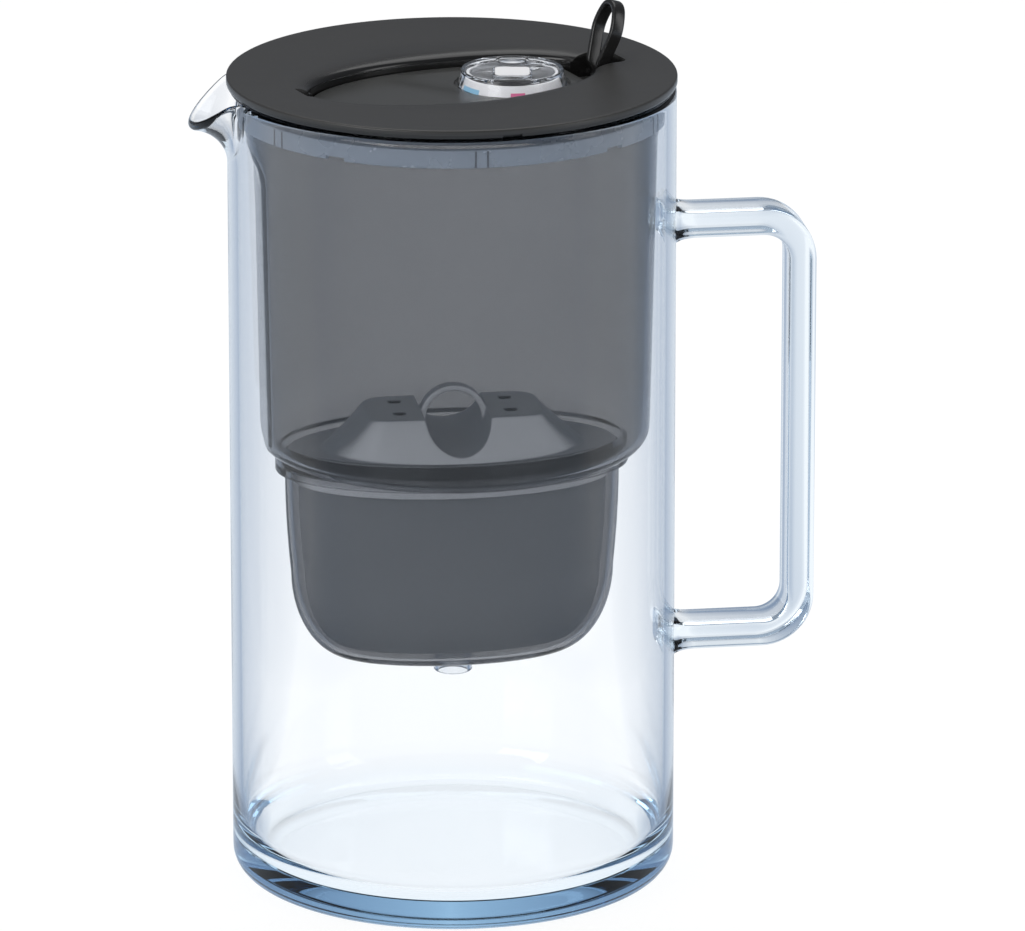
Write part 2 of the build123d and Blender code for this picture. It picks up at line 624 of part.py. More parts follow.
with BuildPart() as cap_hollow:
    oval_block(cup_top_z, cap_plate_z - cup_top_z, cap_a - CAP_WALL, cap_b - CAP_WALL)
    with BuildSketch(Plane.XY.offset(cap_plate_z)):
        Ellipse(hump_low_a - 2 * CAP_WALL, hump_low_b - 2 * CAP_WALL)
    with BuildSketch(Plane.XY.offset(hump_top_z - CAP_WALL)):
        RectangleRounded(HUMP_TOP_A * 2 - 3 * CAP_WALL, HUMP_TOP_B * 2 - 3 * CAP_WALL,
                         HUMP_TOP_B * HUMP_CORNER - CAP_WALL)
    loft()
    with BuildSketch(Plane.XZ):
        with Locations((0, hump_top_z)):
            Circle(CHANNEL_R + CAP_WALL)
            with Locations((0, CHANNEL_R)):
                Rectangle(CHANNEL_R * 2 + CAP_WALL * 2, CHANNEL_R * 2)
    extrude(amount=well_b, both=True, mode=Mode.SUBTRACT)

with BuildPart() as cartridge_cap:
    add(cap_outside.part)
    add(cap_hollow.part, mode=Mode.SUBTRACT)
    with BuildSketch(Plane.XZ):
        with Locations((0, ring_top_z - RING_R)):
            Circle(RING_R)
            Circle(RING_R - RING_THICK, mode=Mode.SUBTRACT)
            with Locations((0, -RING_R)):
                Rectangle(RING_R * 3, RING_R * RING_CUT, mode=Mode.SUBTRACT)
    extrude(amount=RING_WIDE / 2, both=True)
save(cartridge_cap, "cartridge_cap")

low_screen_z = cup_low_z + CUP_WALL
high_screen_z = cup_top_z - SCREEN_THICK
high_screen_a = CUP_A - CUP_WALL - SCREEN_GAP
high_screen_b = CUP_B - CUP_WALL - SCREEN_GAP
low_screen_a = CUP_FLAT_A - CUP_WALL - 2 * SCREEN_GAP
low_screen_b = CUP_FLAT_B - CUP_WALL - 2 * SCREEN_GAP
for name, height, half_a, half_b in (
    ("upper_screen", high_screen_z, high_screen_a, high_screen_b),
    ("lower_screen", low_screen_z, low_screen_a, low_screen_b),
):
    with BuildPart() as screen:
        oval_block(height, SCREEN_THICK, half_a, half_b)
        columns = 2 * int((half_a - SCREEN_BORDER) / SCREEN_PITCH) + 1
        rows = 2 * int((half_b - SCREEN_BORDER) / SCREEN_PITCH) + 1
        with BuildSketch(Plane.XY.offset(height - 1)):
            with GridLocations(SCREEN_PITCH, SCREEN_PITCH, columns, rows):
                Circle(SCREEN_HOLE_R)
            with Locations((0, 0)):
                Ellipse(half_a - SCREEN_BORDER, half_b - SCREEN_BORDER, mode=Mode.INTERSECT)
        extrude(amount=SCREEN_THICK + 2, mode=Mode.SUBTRACT)
    save(screen, name)

media_low_z = low_screen_z + SCREEN_THICK + MEDIA_REST
media_gap = CUP_WALL + MEDIA_GAP
media_flat_gap = CUP_WALL + MEDIA_FLAT_GAP
media_inner = cup_levels(high_screen_z, CUP_A - media_gap, CUP_B - media_gap, CUP_DRAFT,
                         CUP_SHOULDER - CUP_WALL, CUP_FLAT_A - media_flat_gap,
                         CUP_FLAT_B - media_flat_gap, media_low_z)
with BuildPart() as filter_media:
    oval_loft(media_inner)
save(filter_media, "filter_media")

# --- lid ------------------------------------------------------------------------------------
plate_low_z = flange_top_z - LID_PLATE_LOW
dish_mid_z = lid_top_z - LID_DISH * LID_DISH_LEFT
wall_top_z = plate_low_z + LID_ROOT
recess_low_z = flap_low_z - LEDGE_THICK
ledge_a = RECESS_A - LEDGE_WIDE
ledge_b = RECESS_B - LEDGE_WIDE
hinge_pocket_in = hinge_u + HINGE_POCKET_IN
hinge_block_end = hinge_pocket_end - RECESS_WALL
tab_block_end = tab_pocket_end + TAB_BLOCK_WALL
tab_pocket_half = TAB_HALF + TAB_GAP
tab_pocket_in = flap_end_u - TAB_POCKET_IN
pocket_low_z = tab_top_z - TAB_THICK - TAB_GAP
with BuildPart() as lid_shell:
    with BuildSketch(Plane.XZ):
        with BuildLine():
            Polyline(
                (lid_r - LID_EDGE, lid_top_z), (lid_r, lid_top_z - LID_EDGE),
                (lid_r, flange_top_z + LID_EDGE), (lid_r - LID_EDGE, flange_top_z), (skirt_r, flange_top_z),
                (skirt_r, flange_top_z - SKIRT_TALL), (skirt_r - SKIRT_WALL, flange_top_z - SKIRT_TALL),
                (skirt_r - SKIRT_WALL, plate_low_z), (0, plate_low_z), (0, lid_top_z - LID_DISH),
            )
            ThreePointArc((0, lid_top_z - LID_DISH), (lid_r * LID_DISH_OUT, dish_mid_z),
                          (lid_r - LID_EDGE, lid_top_z))
        make_face()
    revolve(axis=Axis.Z)
    with BuildSketch(lid_plane(recess_low_z)):
        Ellipse(RECESS_A + RECESS_WALL, RECESS_B + RECESS_WALL)
    extrude(amount=wall_top_z - recess_low_z)
    with BuildSketch(lid_plane(recess_low_z)):
        with Locations(((hinge_block_end + hinge_pocket_in) / 2, 0)):
            Rectangle(hinge_pocket_in - hinge_block_end, 2 * (PIN_HALF + PIN_COVER))
    extrude(amount=wall_top_z - recess_low_z)
    with BuildSketch(lid_plane(pocket_low_z - LEDGE_THICK)):
        with Locations(((ledge_a - LID_ROOT + tab_block_end) / 2, 0)):
            RectangleRounded(tab_block_end - ledge_a + LID_ROOT, 2 * (tab_pocket_half + TAB_BLOCK_WALL),
                             TAB_CORNER + LID_ROOT)
    extrude(amount=wall_top_z - pocket_low_z + LEDGE_THICK)
    lid_flare = []
    for share, spread in FLARE_LEVELS:
        with BuildSketch(lid_plane(lid_top_z - FLARE_TALL * share), mode=Mode.PRIVATE) as level:
            Ellipse(RECESS_A + RECESS_FLARE * spread, RECESS_B + (RECESS_FLARE + RECESS_FLARE_SIDE) * spread)
        lid_flare.append(level.sketch)
    loft(sections=lid_flare, mode=Mode.SUBTRACT)
    with BuildSketch(lid_plane(flap_low_z)):
        Ellipse(RECESS_A, RECESS_B)
    extrude(amount=lid_top_z - FLARE_TALL + HAIR - flap_low_z, mode=Mode.SUBTRACT)
    with BuildSketch(lid_plane(recess_low_z - CUT)):
        Ellipse(ledge_a, ledge_b)
    extrude(amount=2 * CUT, mode=Mode.SUBTRACT)
    with BuildSketch(lid_plane(flap_low_z + HAIR)):
        with Locations(((hinge_pocket_end + hinge_pocket_in) / 2, 0)):
            Rectangle(hinge_pocket_in - hinge_pocket_end, 2 * hinge_pocket_half)
    extrude(amount=lid_top_z + CUT - flap_low_z, mode=Mode.SUBTRACT)
    with BuildSketch(lid_plane(pocket_low_z)):
        with Locations(((tab_pocket_in + tab_pocket_end) / 2, 0)):
            RectangleRounded(tab_pocket_end - tab_pocket_in, 2 * tab_pocket_half, TAB_CORNER)
    extrude(amount=lid_top_z + CUT - pocket_low_z, mode=Mode.SUBTRACT)
    with BuildSketch(lid_side()):
        with Locations((hinge_u, hinge_z)):
            Circle(PIN_R + PIN_GRIP)
    extrude(amount=PIN_HALF, both=True, mode=Mode.SUBTRACT)
    with BuildSketch(Plane.XY.offset(flange_top_z - 1)):
        with PolarLocations(lid_r, 1, start_angle=VENT_ANGLE):
            Rectangle(VENT_DEEP * 2, VENT_ACROSS)
    extrude(amount=VENT_TALL + 1, mode=Mode.SUBTRACT)
save(lid_shell, "lid_shell")

flap_a = RECESS_A - FLAP_GAP
flap_b = RECESS_B - FLAP_GAP
riser_u = flap_end_u - RISER_INSET
arm_low_z = flap_low_z + ARM_RISE
arm_end_u = hinge_u + ARM_LENGTH
with BuildPart() as flap_panel:
    with BuildSketch(lid_plane(flap_low_z)):
        Ellipse(flap_a, flap_b)
        with Locations((flap_end_u + flap_a, 0)):
            Rectangle(2 * flap_a, 2 * flap_a, mode=Mode.SUBTRACT)
    extrude(amount=FLAP_THICK)
    top_edges = flap_panel.faces().sort_by(Axis.Z)[-1].edges()
    fillet(top_edges, radius=FLAP_ROUND)
    with BuildSketch(lid_plane(dial_boss_z)):
        with Locations((DIAL_U, 0)):
            Circle(dial_boss_r)
    extrude(amount=DIAL_BOSS_WALL)
    with BuildSketch(lid_plane(bush_low_z)):
        with Locations((DIAL_U, 0)):
            Circle(STEM_R + BUSH_WALL)
    extrude(amount=BUSH_TALL)
    with BuildSketch(lid_plane(dial_well_z)):
        with Locations((DIAL_U, 0)):
            Circle(dial_well_r)
    extrude(amount=CUT, mode=Mode.SUBTRACT)
    with BuildSketch(lid_plane(bush_low_z - CUT)):
        with Locations((DIAL_U, 0)):
            Circle(STEM_R + STEM_CLEAR)
    extrude(amount=3 * CUT, mode=Mode.SUBTRACT)
    # riser, tab and lug that carry the pull loop
    with BuildSketch(lid_side()):
        Polygon(
            (riser_u - RISER_THICK, tab_top_z - TAB_THICK), (tab_end_u, tab_top_z - TAB_THICK),
            (tab_end_u, tab_top_z), (riser_u, tab_top_z), (riser_u, flap_top_z - RISER_INSET),
            (riser_u - RISER_THICK, flap_top_z - RISER_INSET), align=None,
        )
    extrude(amount=TAB_HALF, both=True)
    with BuildSketch(lid_side()):
        with Locations((loop_u, (tab_top_z + loop_pin_z) / 2)):
            Rectangle(LUG_R * 2, loop_pin_z - tab_top_z)
        with Locations((loop_u, loop_pin_z)):
            Circle(LUG_R)
        with Locations((loop_u, tab_top_z - TAB_THICK - LUG_R)):
            Rectangle(LUG_R * 4, LUG_R * 2, mode=Mode.SUBTRACT)
    extrude(amount=LUG_HALF, both=True)
    # hinge arm and barrel
    with BuildSketch(lid_side()):
        with Locations((hinge_u, hinge_z)):
            Circle(BARREL_R)
        Polygon(
            (hinge_u - BARREL_R / 4, hinge_z - BARREL_R * 0.7), (hinge_u + BARREL_R / 3, arm_low_z),
            (arm_end_u, arm_low_z), (arm_end_u, flap_top_z - HAIR),
            (hinge_u + BARREL_R * 1.5, flap_top_z - HAIR),
            (hinge_u + BARREL_R * 0.8, hinge_z + BARREL_R / 3),
            align=None,
        )
    extrude(amount=BARREL_HALF, both=True)
    with BuildSketch(lid_side()):
        with Locations((hinge_u, hinge_z), (loop_u, loop_pin_z)):
            Circle(PIN_R + PIN_CLEAR)
    extrude(amount=PIN_HALF, both=True, mode=Mode.SUBTRACT)
save(flap_panel, "flap_panel")

for name, along, height, pin_r, half in (
    ("flap_hinge_pin", hinge_u, hinge_z, PIN_R, PIN_HALF - 0.1),
    ("loop_pin", loop_u, loop_pin_z, LOOP_PIN_R, LOOP_PIN_HALF),
):
    with BuildPart() as pin:
        with BuildSketch(lid_side()):
            with Locations((along, height)):
                Circle(pin_r)
        extrude(amount=half, both=True)
        chamfer(pin.edges().filter_by(GeomType.CIRCLE), length=pin_r * 0.3)
    save(pin, name)

# The loop is drawn flat, from its eyes up to its crown, then leant over.
lean = radians(LOOP_LEAN)
loop_plane = Plane(
    origin=(loop_u * turn_u[0], loop_u * turn_u[1], loop_pin_z),
    x_dir=(-turn_u[1], turn_u[0], 0),
    z_dir=(turn_u[0] * cos(lean), turn_u[1] * cos(lean), -sin(lean)),
)
loop_tall = LOOP_TALL - LOOP_THICK / 2
loop_side = [(LOOP_HALF * out, loop_tall * rise) for out, rise in LOOP_SHAPE]
foot = LUG_HALF + LUG_GAP + LOOP_THICK / 2
with BuildPart() as pull_loop:
    with BuildSketch(loop_plane):
        with BuildLine():
            Line((-foot, -EYE_BELOW), (-foot, EYE_ABOVE))
            Spline(
                (-foot, EYE_ABOVE), *[(-x, y) for x, y in loop_side], (0, loop_tall),
                *reversed(loop_side), (foot, EYE_ABOVE), tangents=((0, 1), (0, -1)),
            )
            Line((foot, EYE_ABOVE), (foot, -EYE_BELOW))
        trace(line_width=LOOP_THICK)
    extrude(amount=LOOP_BAND / 2, both=True)
    with BuildSketch(lid_side()):
        with Locations((loop_u, loop_pin_z)):
            Circle(LOOP_PIN_R + LOOP_PIN_FIT)
    extrude(amount=PIN_HALF * 2, both=True, mode=Mode.SUBTRACT)
save(pull_loop, "pull_loop")

# --- dial --------------------------------------------------------------------------------------
with BuildPart() as dial_knob:
    with BuildSketch(dial_side()):
        with BuildLine():
            FilletPolyline(
                (DIAL_LOW_R - DIAL_WALL, dial_low_z), (DIAL_LOW_R, dial_low_z), (dial_top_r, dial_top_z),
                (0, dial_top_z + DIAL_CROWN),
                radius=(STEM_EDGE, DIAL_EDGE),
            )
            Polyline(
                (0, dial_top_z + DIAL_CROWN), (0, stem_low_z), (STEM_R - STEM_EDGE, stem_low_z),
                (STEM_R, stem_low_z + STEM_EDGE), (STEM_R, roof_low_z),
                (dial_top_r - DIAL_WALL, roof_low_z), (DIAL_LOW_R - DIAL_WALL, dial_low_z),
            )
        make_face()
    revolve(axis=dial_axis)
    with BuildSketch(dial_plane(roof_low_z + 2 * HAIR)):
        with Locations((WINDOW_OUT, 0)):
            RectangleRounded(WINDOW_LONG, WINDOW_WIDE, WINDOW_ROUND)
    extrude(amount=DIAL_ROOF + WINDOW_TALL - 2 * HAIR)
    window_top = dial_knob.faces().sort_by(Axis.Z)[-1]
    fillet(window_top.edges(), radius=WINDOW_EDGE)
    with BuildSketch(dial_plane(dial_top_z - DIMPLE_DEEP)):
        with Locations((-DIMPLE_OUT, 0)):
            Circle(DIMPLE_R)
            Circle(DIMPLE_R - DIMPLE_WIDE, mode=Mode.SUBTRACT)
    extrude(amount=CUT, mode=Mode.SUBTRACT)
    with BuildSketch(dial_plane(clip_top_z - CLIP_THICK - CLIP_FIT)):
        Circle(STEM_R + GROOVE_DEEP)
        Circle(STEM_R - GROOVE_DEEP, mode=Mode.SUBTRACT)
    extrude(amount=CLIP_THICK + 2 * CLIP_FIT, mode=Mode.SUBTRACT)
save(dial_knob, "dial_knob")

with BuildPart() as dial_clip:
    with BuildSketch(dial_plane(clip_top_z - CLIP_THICK)):
        Circle(STEM_R + CLIP_WIDE)
        Circle(STEM_R - GROOVE_DEEP + CLIP_BORE_FIT, mode=Mode.SUBTRACT)
        with Locations((STEM_R + CLIP_WIDE, 0)):
            Rectangle((STEM_R + CLIP_WIDE) * 2, STEM_R, mode=Mode.SUBTRACT)
    extrude(amount=CLIP_THICK)
save(dial_clip, "dial_clip")

with BuildPart() as dial_hub:
    with BuildSketch(dial_plane(dial_well_z)):
        Circle(hub_r)
        Circle(STEM_R + STEM_CLEAR, mode=Mode.SUBTRACT)
    extrude(amount=hub_top_z - dial_well_z)
    chamfer(dial_hub.faces().sort_by(Axis.Z)[-1].edges().sort_by(SortBy.LENGTH)[-1], length=HUB_EDGE)
save(dial_hub, "dial_hub")

with BuildPart() as dial_scale:
    with BuildSketch(dial_side()):
        Polygon(
            (hub_r + SCALE_FIT, dial_well_z), (scale_low_r, dial_well_z), (scale_top_r, hub_top_z),
            (hub_r + SCALE_FIT, hub_top_z), align=None,
        )
    revolve(axis=dial_axis)
save(dial_scale, "dial_scale")
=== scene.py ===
import json
import math

import bmesh
import bpy
from bpy.props import FloatProperty, FloatVectorProperty, PointerProperty
from bpy.types import Operator, Panel, PropertyGroup
from mathutils import Matrix, Vector


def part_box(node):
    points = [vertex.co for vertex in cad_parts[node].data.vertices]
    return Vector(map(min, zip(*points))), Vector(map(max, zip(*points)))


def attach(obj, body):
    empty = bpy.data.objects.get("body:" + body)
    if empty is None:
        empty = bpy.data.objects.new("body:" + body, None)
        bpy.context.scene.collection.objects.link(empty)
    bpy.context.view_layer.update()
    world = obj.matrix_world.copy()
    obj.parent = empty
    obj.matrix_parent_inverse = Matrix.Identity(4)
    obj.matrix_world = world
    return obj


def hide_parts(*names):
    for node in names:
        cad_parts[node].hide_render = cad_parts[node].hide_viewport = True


bl_info = {
    "name": "Water filter pitcher",
    "version": (1, 0, 0),
    "blender": (4, 5, 0),
    "location": "3D View > Sidebar > Pitcher",
    "description": "Builds the pieces of a water filter pitcher around its packed model",
    "category": "Object",
}

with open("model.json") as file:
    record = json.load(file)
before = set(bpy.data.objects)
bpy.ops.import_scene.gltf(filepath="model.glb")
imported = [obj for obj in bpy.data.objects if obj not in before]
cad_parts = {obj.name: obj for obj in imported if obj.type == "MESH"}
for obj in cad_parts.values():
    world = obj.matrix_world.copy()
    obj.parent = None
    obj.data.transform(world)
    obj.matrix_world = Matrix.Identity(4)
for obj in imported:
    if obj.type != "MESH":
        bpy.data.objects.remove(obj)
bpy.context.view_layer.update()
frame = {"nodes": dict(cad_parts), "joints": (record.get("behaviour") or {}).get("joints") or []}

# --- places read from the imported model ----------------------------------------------
MM = 0.001
_, JUG_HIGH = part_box("glass_jug")
_, HANDLE_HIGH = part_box("glass_handle")
_, HOPPER_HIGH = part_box("hopper")
COLLAR_LOW, COLLAR_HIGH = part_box("hopper_collar")
NOZZLE_LOW, NOZZLE_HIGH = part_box("drip_nozzle")
SEAL_LOW, SEAL_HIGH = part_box("cartridge_seal")
CUP_LOW, CUP_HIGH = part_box("cartridge_cup")
_, LID_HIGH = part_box("lid_shell")
_, KNOB_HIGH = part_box("dial_knob")
JUG_R = JUG_HIGH.y
RIM_Z = JUG_HIGH.z


def joint(name):
    return next(j for j in frame["joints"] if j["name"] == name)


def middle(node):
    low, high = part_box(node)
    return (low + high) / 2


HINGE_AXIS = Vector(joint("flap_hinge")["axis"])
HINGE_PLACE = Vector(joint("flap_hinge")["pos_m"])
LID_TURN = math.atan2(HINGE_AXIS.x, -HINGE_AXIS.y)
ALONG = Vector((math.cos(LID_TURN), math.sin(LID_TURN), 0.0))
ACROSS = Vector((-math.sin(LID_TURN), math.cos(LID_TURN), 0.0))
HINGE_U = HINGE_PLACE.dot(ALONG)
LOOP_PIN = middle("loop_pin")
LOOP_U = LOOP_PIN.dot(ALONG)
DIAL_PLACE = Vector(joint("dial_turn")["pos_m"])
LID_FRAME = Matrix.Rotation(LID_TURN, 4, "Z")
GRAIN_DEEP = 0.1 * MM    # depth of a moulded grain at strength 1
WHITE = (1.0, 1.0, 1.0)
SAME_PLACE = 0.002 * MM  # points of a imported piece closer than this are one
SAME_PLANE = math.radians(0.6)
HAIR = 0.02 * MM         # stands for a sharp corner
PAST = 5 * MM            # cutters stand past the surface by this
PIN_R, PIN_EDGE = 0.8 * MM, 0.2 * MM


# --- settings -------------------------------------------------------------------------
def length(label, text, millimetres):
    return FloatProperty(name=label, description=text, default=millimetres * MM, precision=5, unit="LENGTH",
                         subtype="DISTANCE")


def angle(label, text, degrees):
    return FloatProperty(name=label, description=text, default=math.radians(degrees), unit="ROTATION",
                         subtype="ANGLE")


def share(label, text, default):
    return FloatProperty(name=label, description=text, default=default, min=0.0, max=1.0, subtype="FACTOR")


def amount(label, text, default):
    return FloatProperty(name=label, description=text, default=default)


def colour(label, text, default):
    return FloatVectorProperty(name=label, description=text, default=default, size=3, min=0.0, max=1.0,
                               subtype="COLOR")


class GlassSettings(PropertyGroup):
    wall: length("Wall", "Thickness of the jug's wall", 3.0)
    base: length("Base", "Thickness of the floor", 7.5)
    foot_corner: length("Foot corner", "Outside radius at the foot", 7.5)
    floor_corner: length("Floor corner", "Inside radius at the floor", 13.0)
    spout_turn: angle("Spout turn", "The spout points past the side opposite the handle", 6.0)
    spout_reach: length("Spout reach", "Tip of the spout beyond the jug's side", 11.9)
    spout_drop: length("Spout drop", "Middle of the tip below the rim", 11.0)
    spout_lean: angle("Spout lean", "How steeply the lip's plane falls to the tip", 39.0)
    spout_ring: length("Spout ring", "Radius of the lip in its own plane", 22.0)
    spout_depth: length("Spout depth", "How far below its lip the spout leaves the wall", 12.5)
    lip: length("Lip", "Thickness of the spout's lip", 2.8)
    tint: colour("Tint", "Colour that thick glass turns", (0.10, 0.53, 0.81))
    tint_density: amount("Tint density", "How fast thick glass turns to its tint, per metre", 9.0)
    bending: amount("Refraction", "How strongly the glass bends light", 1.36)
    waviness: share("Waviness", "Slow ripple of drawn glass", 0.03)


class HandleSettings(PropertyGroup):
    wide: length("Width", "Strap, across", 17.6)
    thick: length("Thickness", "Strap, through", 8.4)
    inset: length("Inset", "Strap's outer face inside the packed one", 1.9)
    drop: length("Arms", "Middle of each arm from the handle's middle", 66.6)
    bend: length("Bend", "Outside radius of the two bends", 16.5)
    edge: length("Edge", "Softened edges of the strap", 2.1)
    root_wide: length("Root width", "The welded root is wider than the strap by this", 3.0)
    root_tall: length("Root height", "And taller by this", 2.6)
    root_length: length("Root length", "From the jug's side to the plain strap", 7.0)
    root_sunk: length("Root sunk", "The strap starts this far inside the jug's side", 1.6)


class HopperSettings(PropertyGroup):
    wall: length("Wall", "Thickness of the moulded wall", 2.0)
    top_radius: length("Top radius", "Outside, under the flange", 63.7)
    taper: length("Taper", "Radius lost from the collar to the floor", 2.5)
    corner: length("Corner", "Radius between wall and floor", 8.0)
    deep: length("Depth", "From the rim to the floor's underside", 114.0)
    step: length("Step", "Fine step under the collar", 0.4)
    step_drop: length("Step drop", "Step below the rim", 12.0)
    ledge: length("Ledge", "Bead that the collar sits on", 0.6)
    flute: length("Flute", "Depth of the flat on the spout side", 2.4)
    flute_drop: length("Flute drop", "Top of the flat below the rim", 24.0)
    flute_runout: length("Flute run-out", "Height of its sloping end", 8.0)
    seat_drop: length("Seat drop", "Seal's seat below the floor", 5.0)
    seat_ledge: length("Seat ledge", "Pocket's wall to the well's wall", 3.0)
    pocket_gap: length("Pocket gap", "Cup to the pocket's wall", 2.2)
    pocket_draft: length("Pocket draft", "How much the pocket narrows to its corner", 1.7)
    pocket_shoulder: length("Pocket shoulder", "Height of its big bottom corner", 28.0)
    pocket_flat_a: length("Pocket flat length", "Half length of its flat bottom", 31.0)
    pocket_flat_b: length("Pocket flat width", "Half width of its flat bottom", 13.0)
    pocket_foot: length("Pocket foot", "Cup to the pocket's floor", 1.8)
    smoke: colour("Smoke", "Colour of its two faces", (0.432, 0.434, 0.442))
    smoke_deep: colour("Smoke, deep", "Colour that thick plastic turns", (0.10, 0.12, 0.17))
    smoke_density: amount("Smoke density", "How fast thick plastic darkens, per metre", 60.0)
    bending: amount("Refraction", "How strongly the plastic bends light", 1.09)


class CartridgeSettings(PropertyGroup):
    cup_draft: length("Cup draft", "How much the cup narrows to its corner", 1.8)
    cup_shoulder: length("Cup shoulder", "Height of its big bottom corner", 24.0)
    cup_flat_a: length("Cup flat length", "Half length of its flat bottom", 33.0)
    cup_flat_b: length("Cup flat width", "Half width of its flat bottom", 13.0)
    cup_wall: length("Cup wall", "Thickness of the cup's wall", 1.5)
    drain_a: length("Drain length", "Half length of the hole in the cup's floor", 1.5)
    drain_b: length("Drain width", "Half its width", 1.2)
    seal_wide: length("Seal width", "Seal, across its section", 3.4)
    seal_round: length("Seal round", "Its softened edges", 1.1)
    grain: length("Mesh grain", "Voxel that the cap is rebuilt from", 0.45)
    # painted light and painted shade on one grey plastic: pale where the front and back faces are lit, darker
    # over the humps that the lid shades
    cap_lit_colour: colour("Cap front", "Pale grey of the cap's front and back faces", (0.95, 0.955, 0.97))
    cap_shaded_top: colour("Cap top", "Darker grey over its humps", (0.24, 0.25, 0.27))
    vent_x: length("Vent x", "Middle of the vents, along the cap", 17.3)
    vent_y: length("Vent y", "Middle of the vents, across the cap", 6.6)
    vent_long: length("Vent length", "One vent, along the cap", 3.2)
    vent_wide: length("Vent width", "One vent, across the cap", 2.0)
    # painted shade: the vents are painted black, this much beyond each vent
    vent_shade_margin: length("Vent dark", "The dark of a vent is this much larger than the vent", 1.2)
    cup_colour: colour("Cup", "Dark plastic of the cup", (0.30, 0.31, 0.33))


class LidSettings(PropertyGroup):
    tall: length("Edge", "Height of the lid's edge", 2.8)
    dish: length("Dish", "The top is this much lower in the middle", 1.6)
    edge: length("Edge round", "Softened outer edge", 0.8)
    skirt_radius: length("Skirt radius", "Outside of the skirt", 60.9)
    skirt_wall: length("Skirt wall", "Thickness of the skirt", 1.8)
    skirt_tall: length("Skirt height", "Skirt below the flange", 4.6)
    recess_a: length("Recess length", "Half length of the recess", 46.3)
    recess_b: length("Recess width", "Half width of the recess", 26.3)
    flare: length("Flare", "Soft edge beyond the recess wall", 7.7)
    flare_tall: length("Flare height", "Height of that soft edge", 4.0)
    flap_drop: length("Flap drop", "Flap's top below the lid's edge", 5.5)
    flap_thick: length("Flap thickness", "Thickness of the flap", 2.0)
    flap_end: length("Flap end", "Straight end, inside the recess", 4.1)
    ledge: length("Ledge", "Ledge that the flap rests on", 2.0)
    vent_turn: angle("Vent", "Direction of the air notch under the edge", -82.5)
    vent_wide: length("Vent width", "Air notch, across", 6.0)
    vent_deep: length("Vent depth", "Air notch, inwards", 1.6)
    vent_tall: length("Vent height", "Air notch, upwards", 1.0)
    satin_drop: length("Satin drop", "The satin black starts this far below the lid's edge", 2.3)
    satin_fade: length("Satin fade", "And is full this much higher", 1.4)
    black: colour("Black", "Plastic of the lid's top", (0.031, 0.031, 0.030))
    # painted shade: the recess and the edge are painted darker than the lid's black
    painted_shade_black: colour("Deep black", "Its recess and its edge", (0.008, 0.008, 0.008))
    flap_black: colour("Flap black", "Plastic of the flap", (0.042, 0.043, 0.042))
    sheen: share("Roughness", "Roughness of the lid's top", 0.38)
    deep_sheen: share("Deep roughness", "Roughness of its recess and edge", 0.18)


class LoopSettings(PropertyGroup):
    band: length("Band", "Width of the strap", 4.2)
    thick: length("Thickness", "Thickness of the strap", 2.0)
    half: length("Half width", "Half the loop's width, to the strap's middle", 6.0)
    foot: length("Foot", "Half the loop's width at the pin", 2.45)
    tall: length("Height", "From its pin to its crown", 24.8)
    shift: length("Shift", "The strap rises this far from its pin, away from the handle", 3.0)
    rise: length("Rise", "Height at which it has shifted in full", 5.0)
    lean: angle("Lean", "How far it leans to the handle", 18.0)
    edge: length("Edge", "Softened edges of the strap", 0.75)


class DialSettings(PropertyGroup):
    window_out: length("Window out", "Middle of the window lug from the dial's axis", 8.6)
    faces: angle("Facing", "Direction of the window lug", -98.2)
    print_tall: share("Print", "Share of the scale's height that is printed", 0.45)
    blue_from: angle("Blue from", "Start of the blue stretch", -172)
    blue_to: angle("Blue to", "Its end", -140)
    pink_from: angle("Pink from", "Start of the pink stretch", -100)
    pink_to: angle("Pink to", "Its end", -83)
    window_long: length("Window length", "Half length of its white plate", 4.9)
    window_wide: length("Window width", "Half width of its white plate", 5.3)
    window_thick: length("Window thickness", "Thickness of the plate", 0.4)
    window_lift: length("Window lift", "The plate stands proud of the cap by this", 0.06)


class StageSettings(PropertyGroup):
    azimuth: angle("Azimuth", "Camera's direction round the pitcher", -8.2)
    elevation: angle("Elevation", "Camera above the horizon", 17.0)
    distance: length("Distance", "Camera to what it looks at", 3000.0)
    aim_height: length("Aim height", "Height of what it looks at", 130.1)
    aim_right: length("Aim right", "What it looks at, right of the jug's axis", 18.6)
    lens: amount("Lens", "Focal length in millimetres", 339.7)
    floor_size: length("Floor", "Half the floor's width", 6000.0)
    floor_drop: length("Floor drop", "The floor lies this far under the foot", 0.2)
    fill: amount("Fill", "Strength of the even light from above", 0.70)
    low_fill: amount("Low fill", "Strength of the light from the horizon", 0.80)
    side_shade: amount("Side shade", "How fast the room darkens to its sides in glass", 1.15)
    side_full: amount("Side full", "Sideways slant at which it starts to clear again", 1.60)
    side_curve: amount("Side curve", "Below one it darkens near the middle already", 0.63)
    behind: colour("Behind", "The room behind the pitcher, seen in glass", (0.93, 0.935, 0.95))
    sides: colour("Sides", "And to its sides", (0.17, 0.25, 0.38))
    roof: colour("Roof", "And above", (0.30, 0.33, 0.38))
    nearer: colour("Nearer", "The room on the camera's side, through glass", (0.38, 0.43, 0.50))
    nearer_floor: colour("Nearer floor", "The floor there", (0.52, 0.58, 0.66))
    mirror: colour("Mirrored", "What a surface mirrors of the room", (0.16, 0.17, 0.19))
    floor_clear: length("Floor clear", "The floor shades from this far beside the view's middle", 62)
    floor_glow: amount("Floor glow", "Strength of the floor's own white", 1.19)
    box_turn: angle("Strip turn", "Strip light, round from the camera", -81.5)
    box_half: angle("Strip half width", "Half its width", 7.5)


SETTINGS = {
    "pitcher_glass": GlassSettings,
    "pitcher_handle": HandleSettings,
    "pitcher_hopper": HopperSettings,
    "pitcher_cartridge": CartridgeSettings,
    "pitcher_lid": LidSettings,
    "pitcher_loop": LoopSettings,
    "pitcher_dial": DialSettings,
    "pitcher_stage": StageSettings,
}


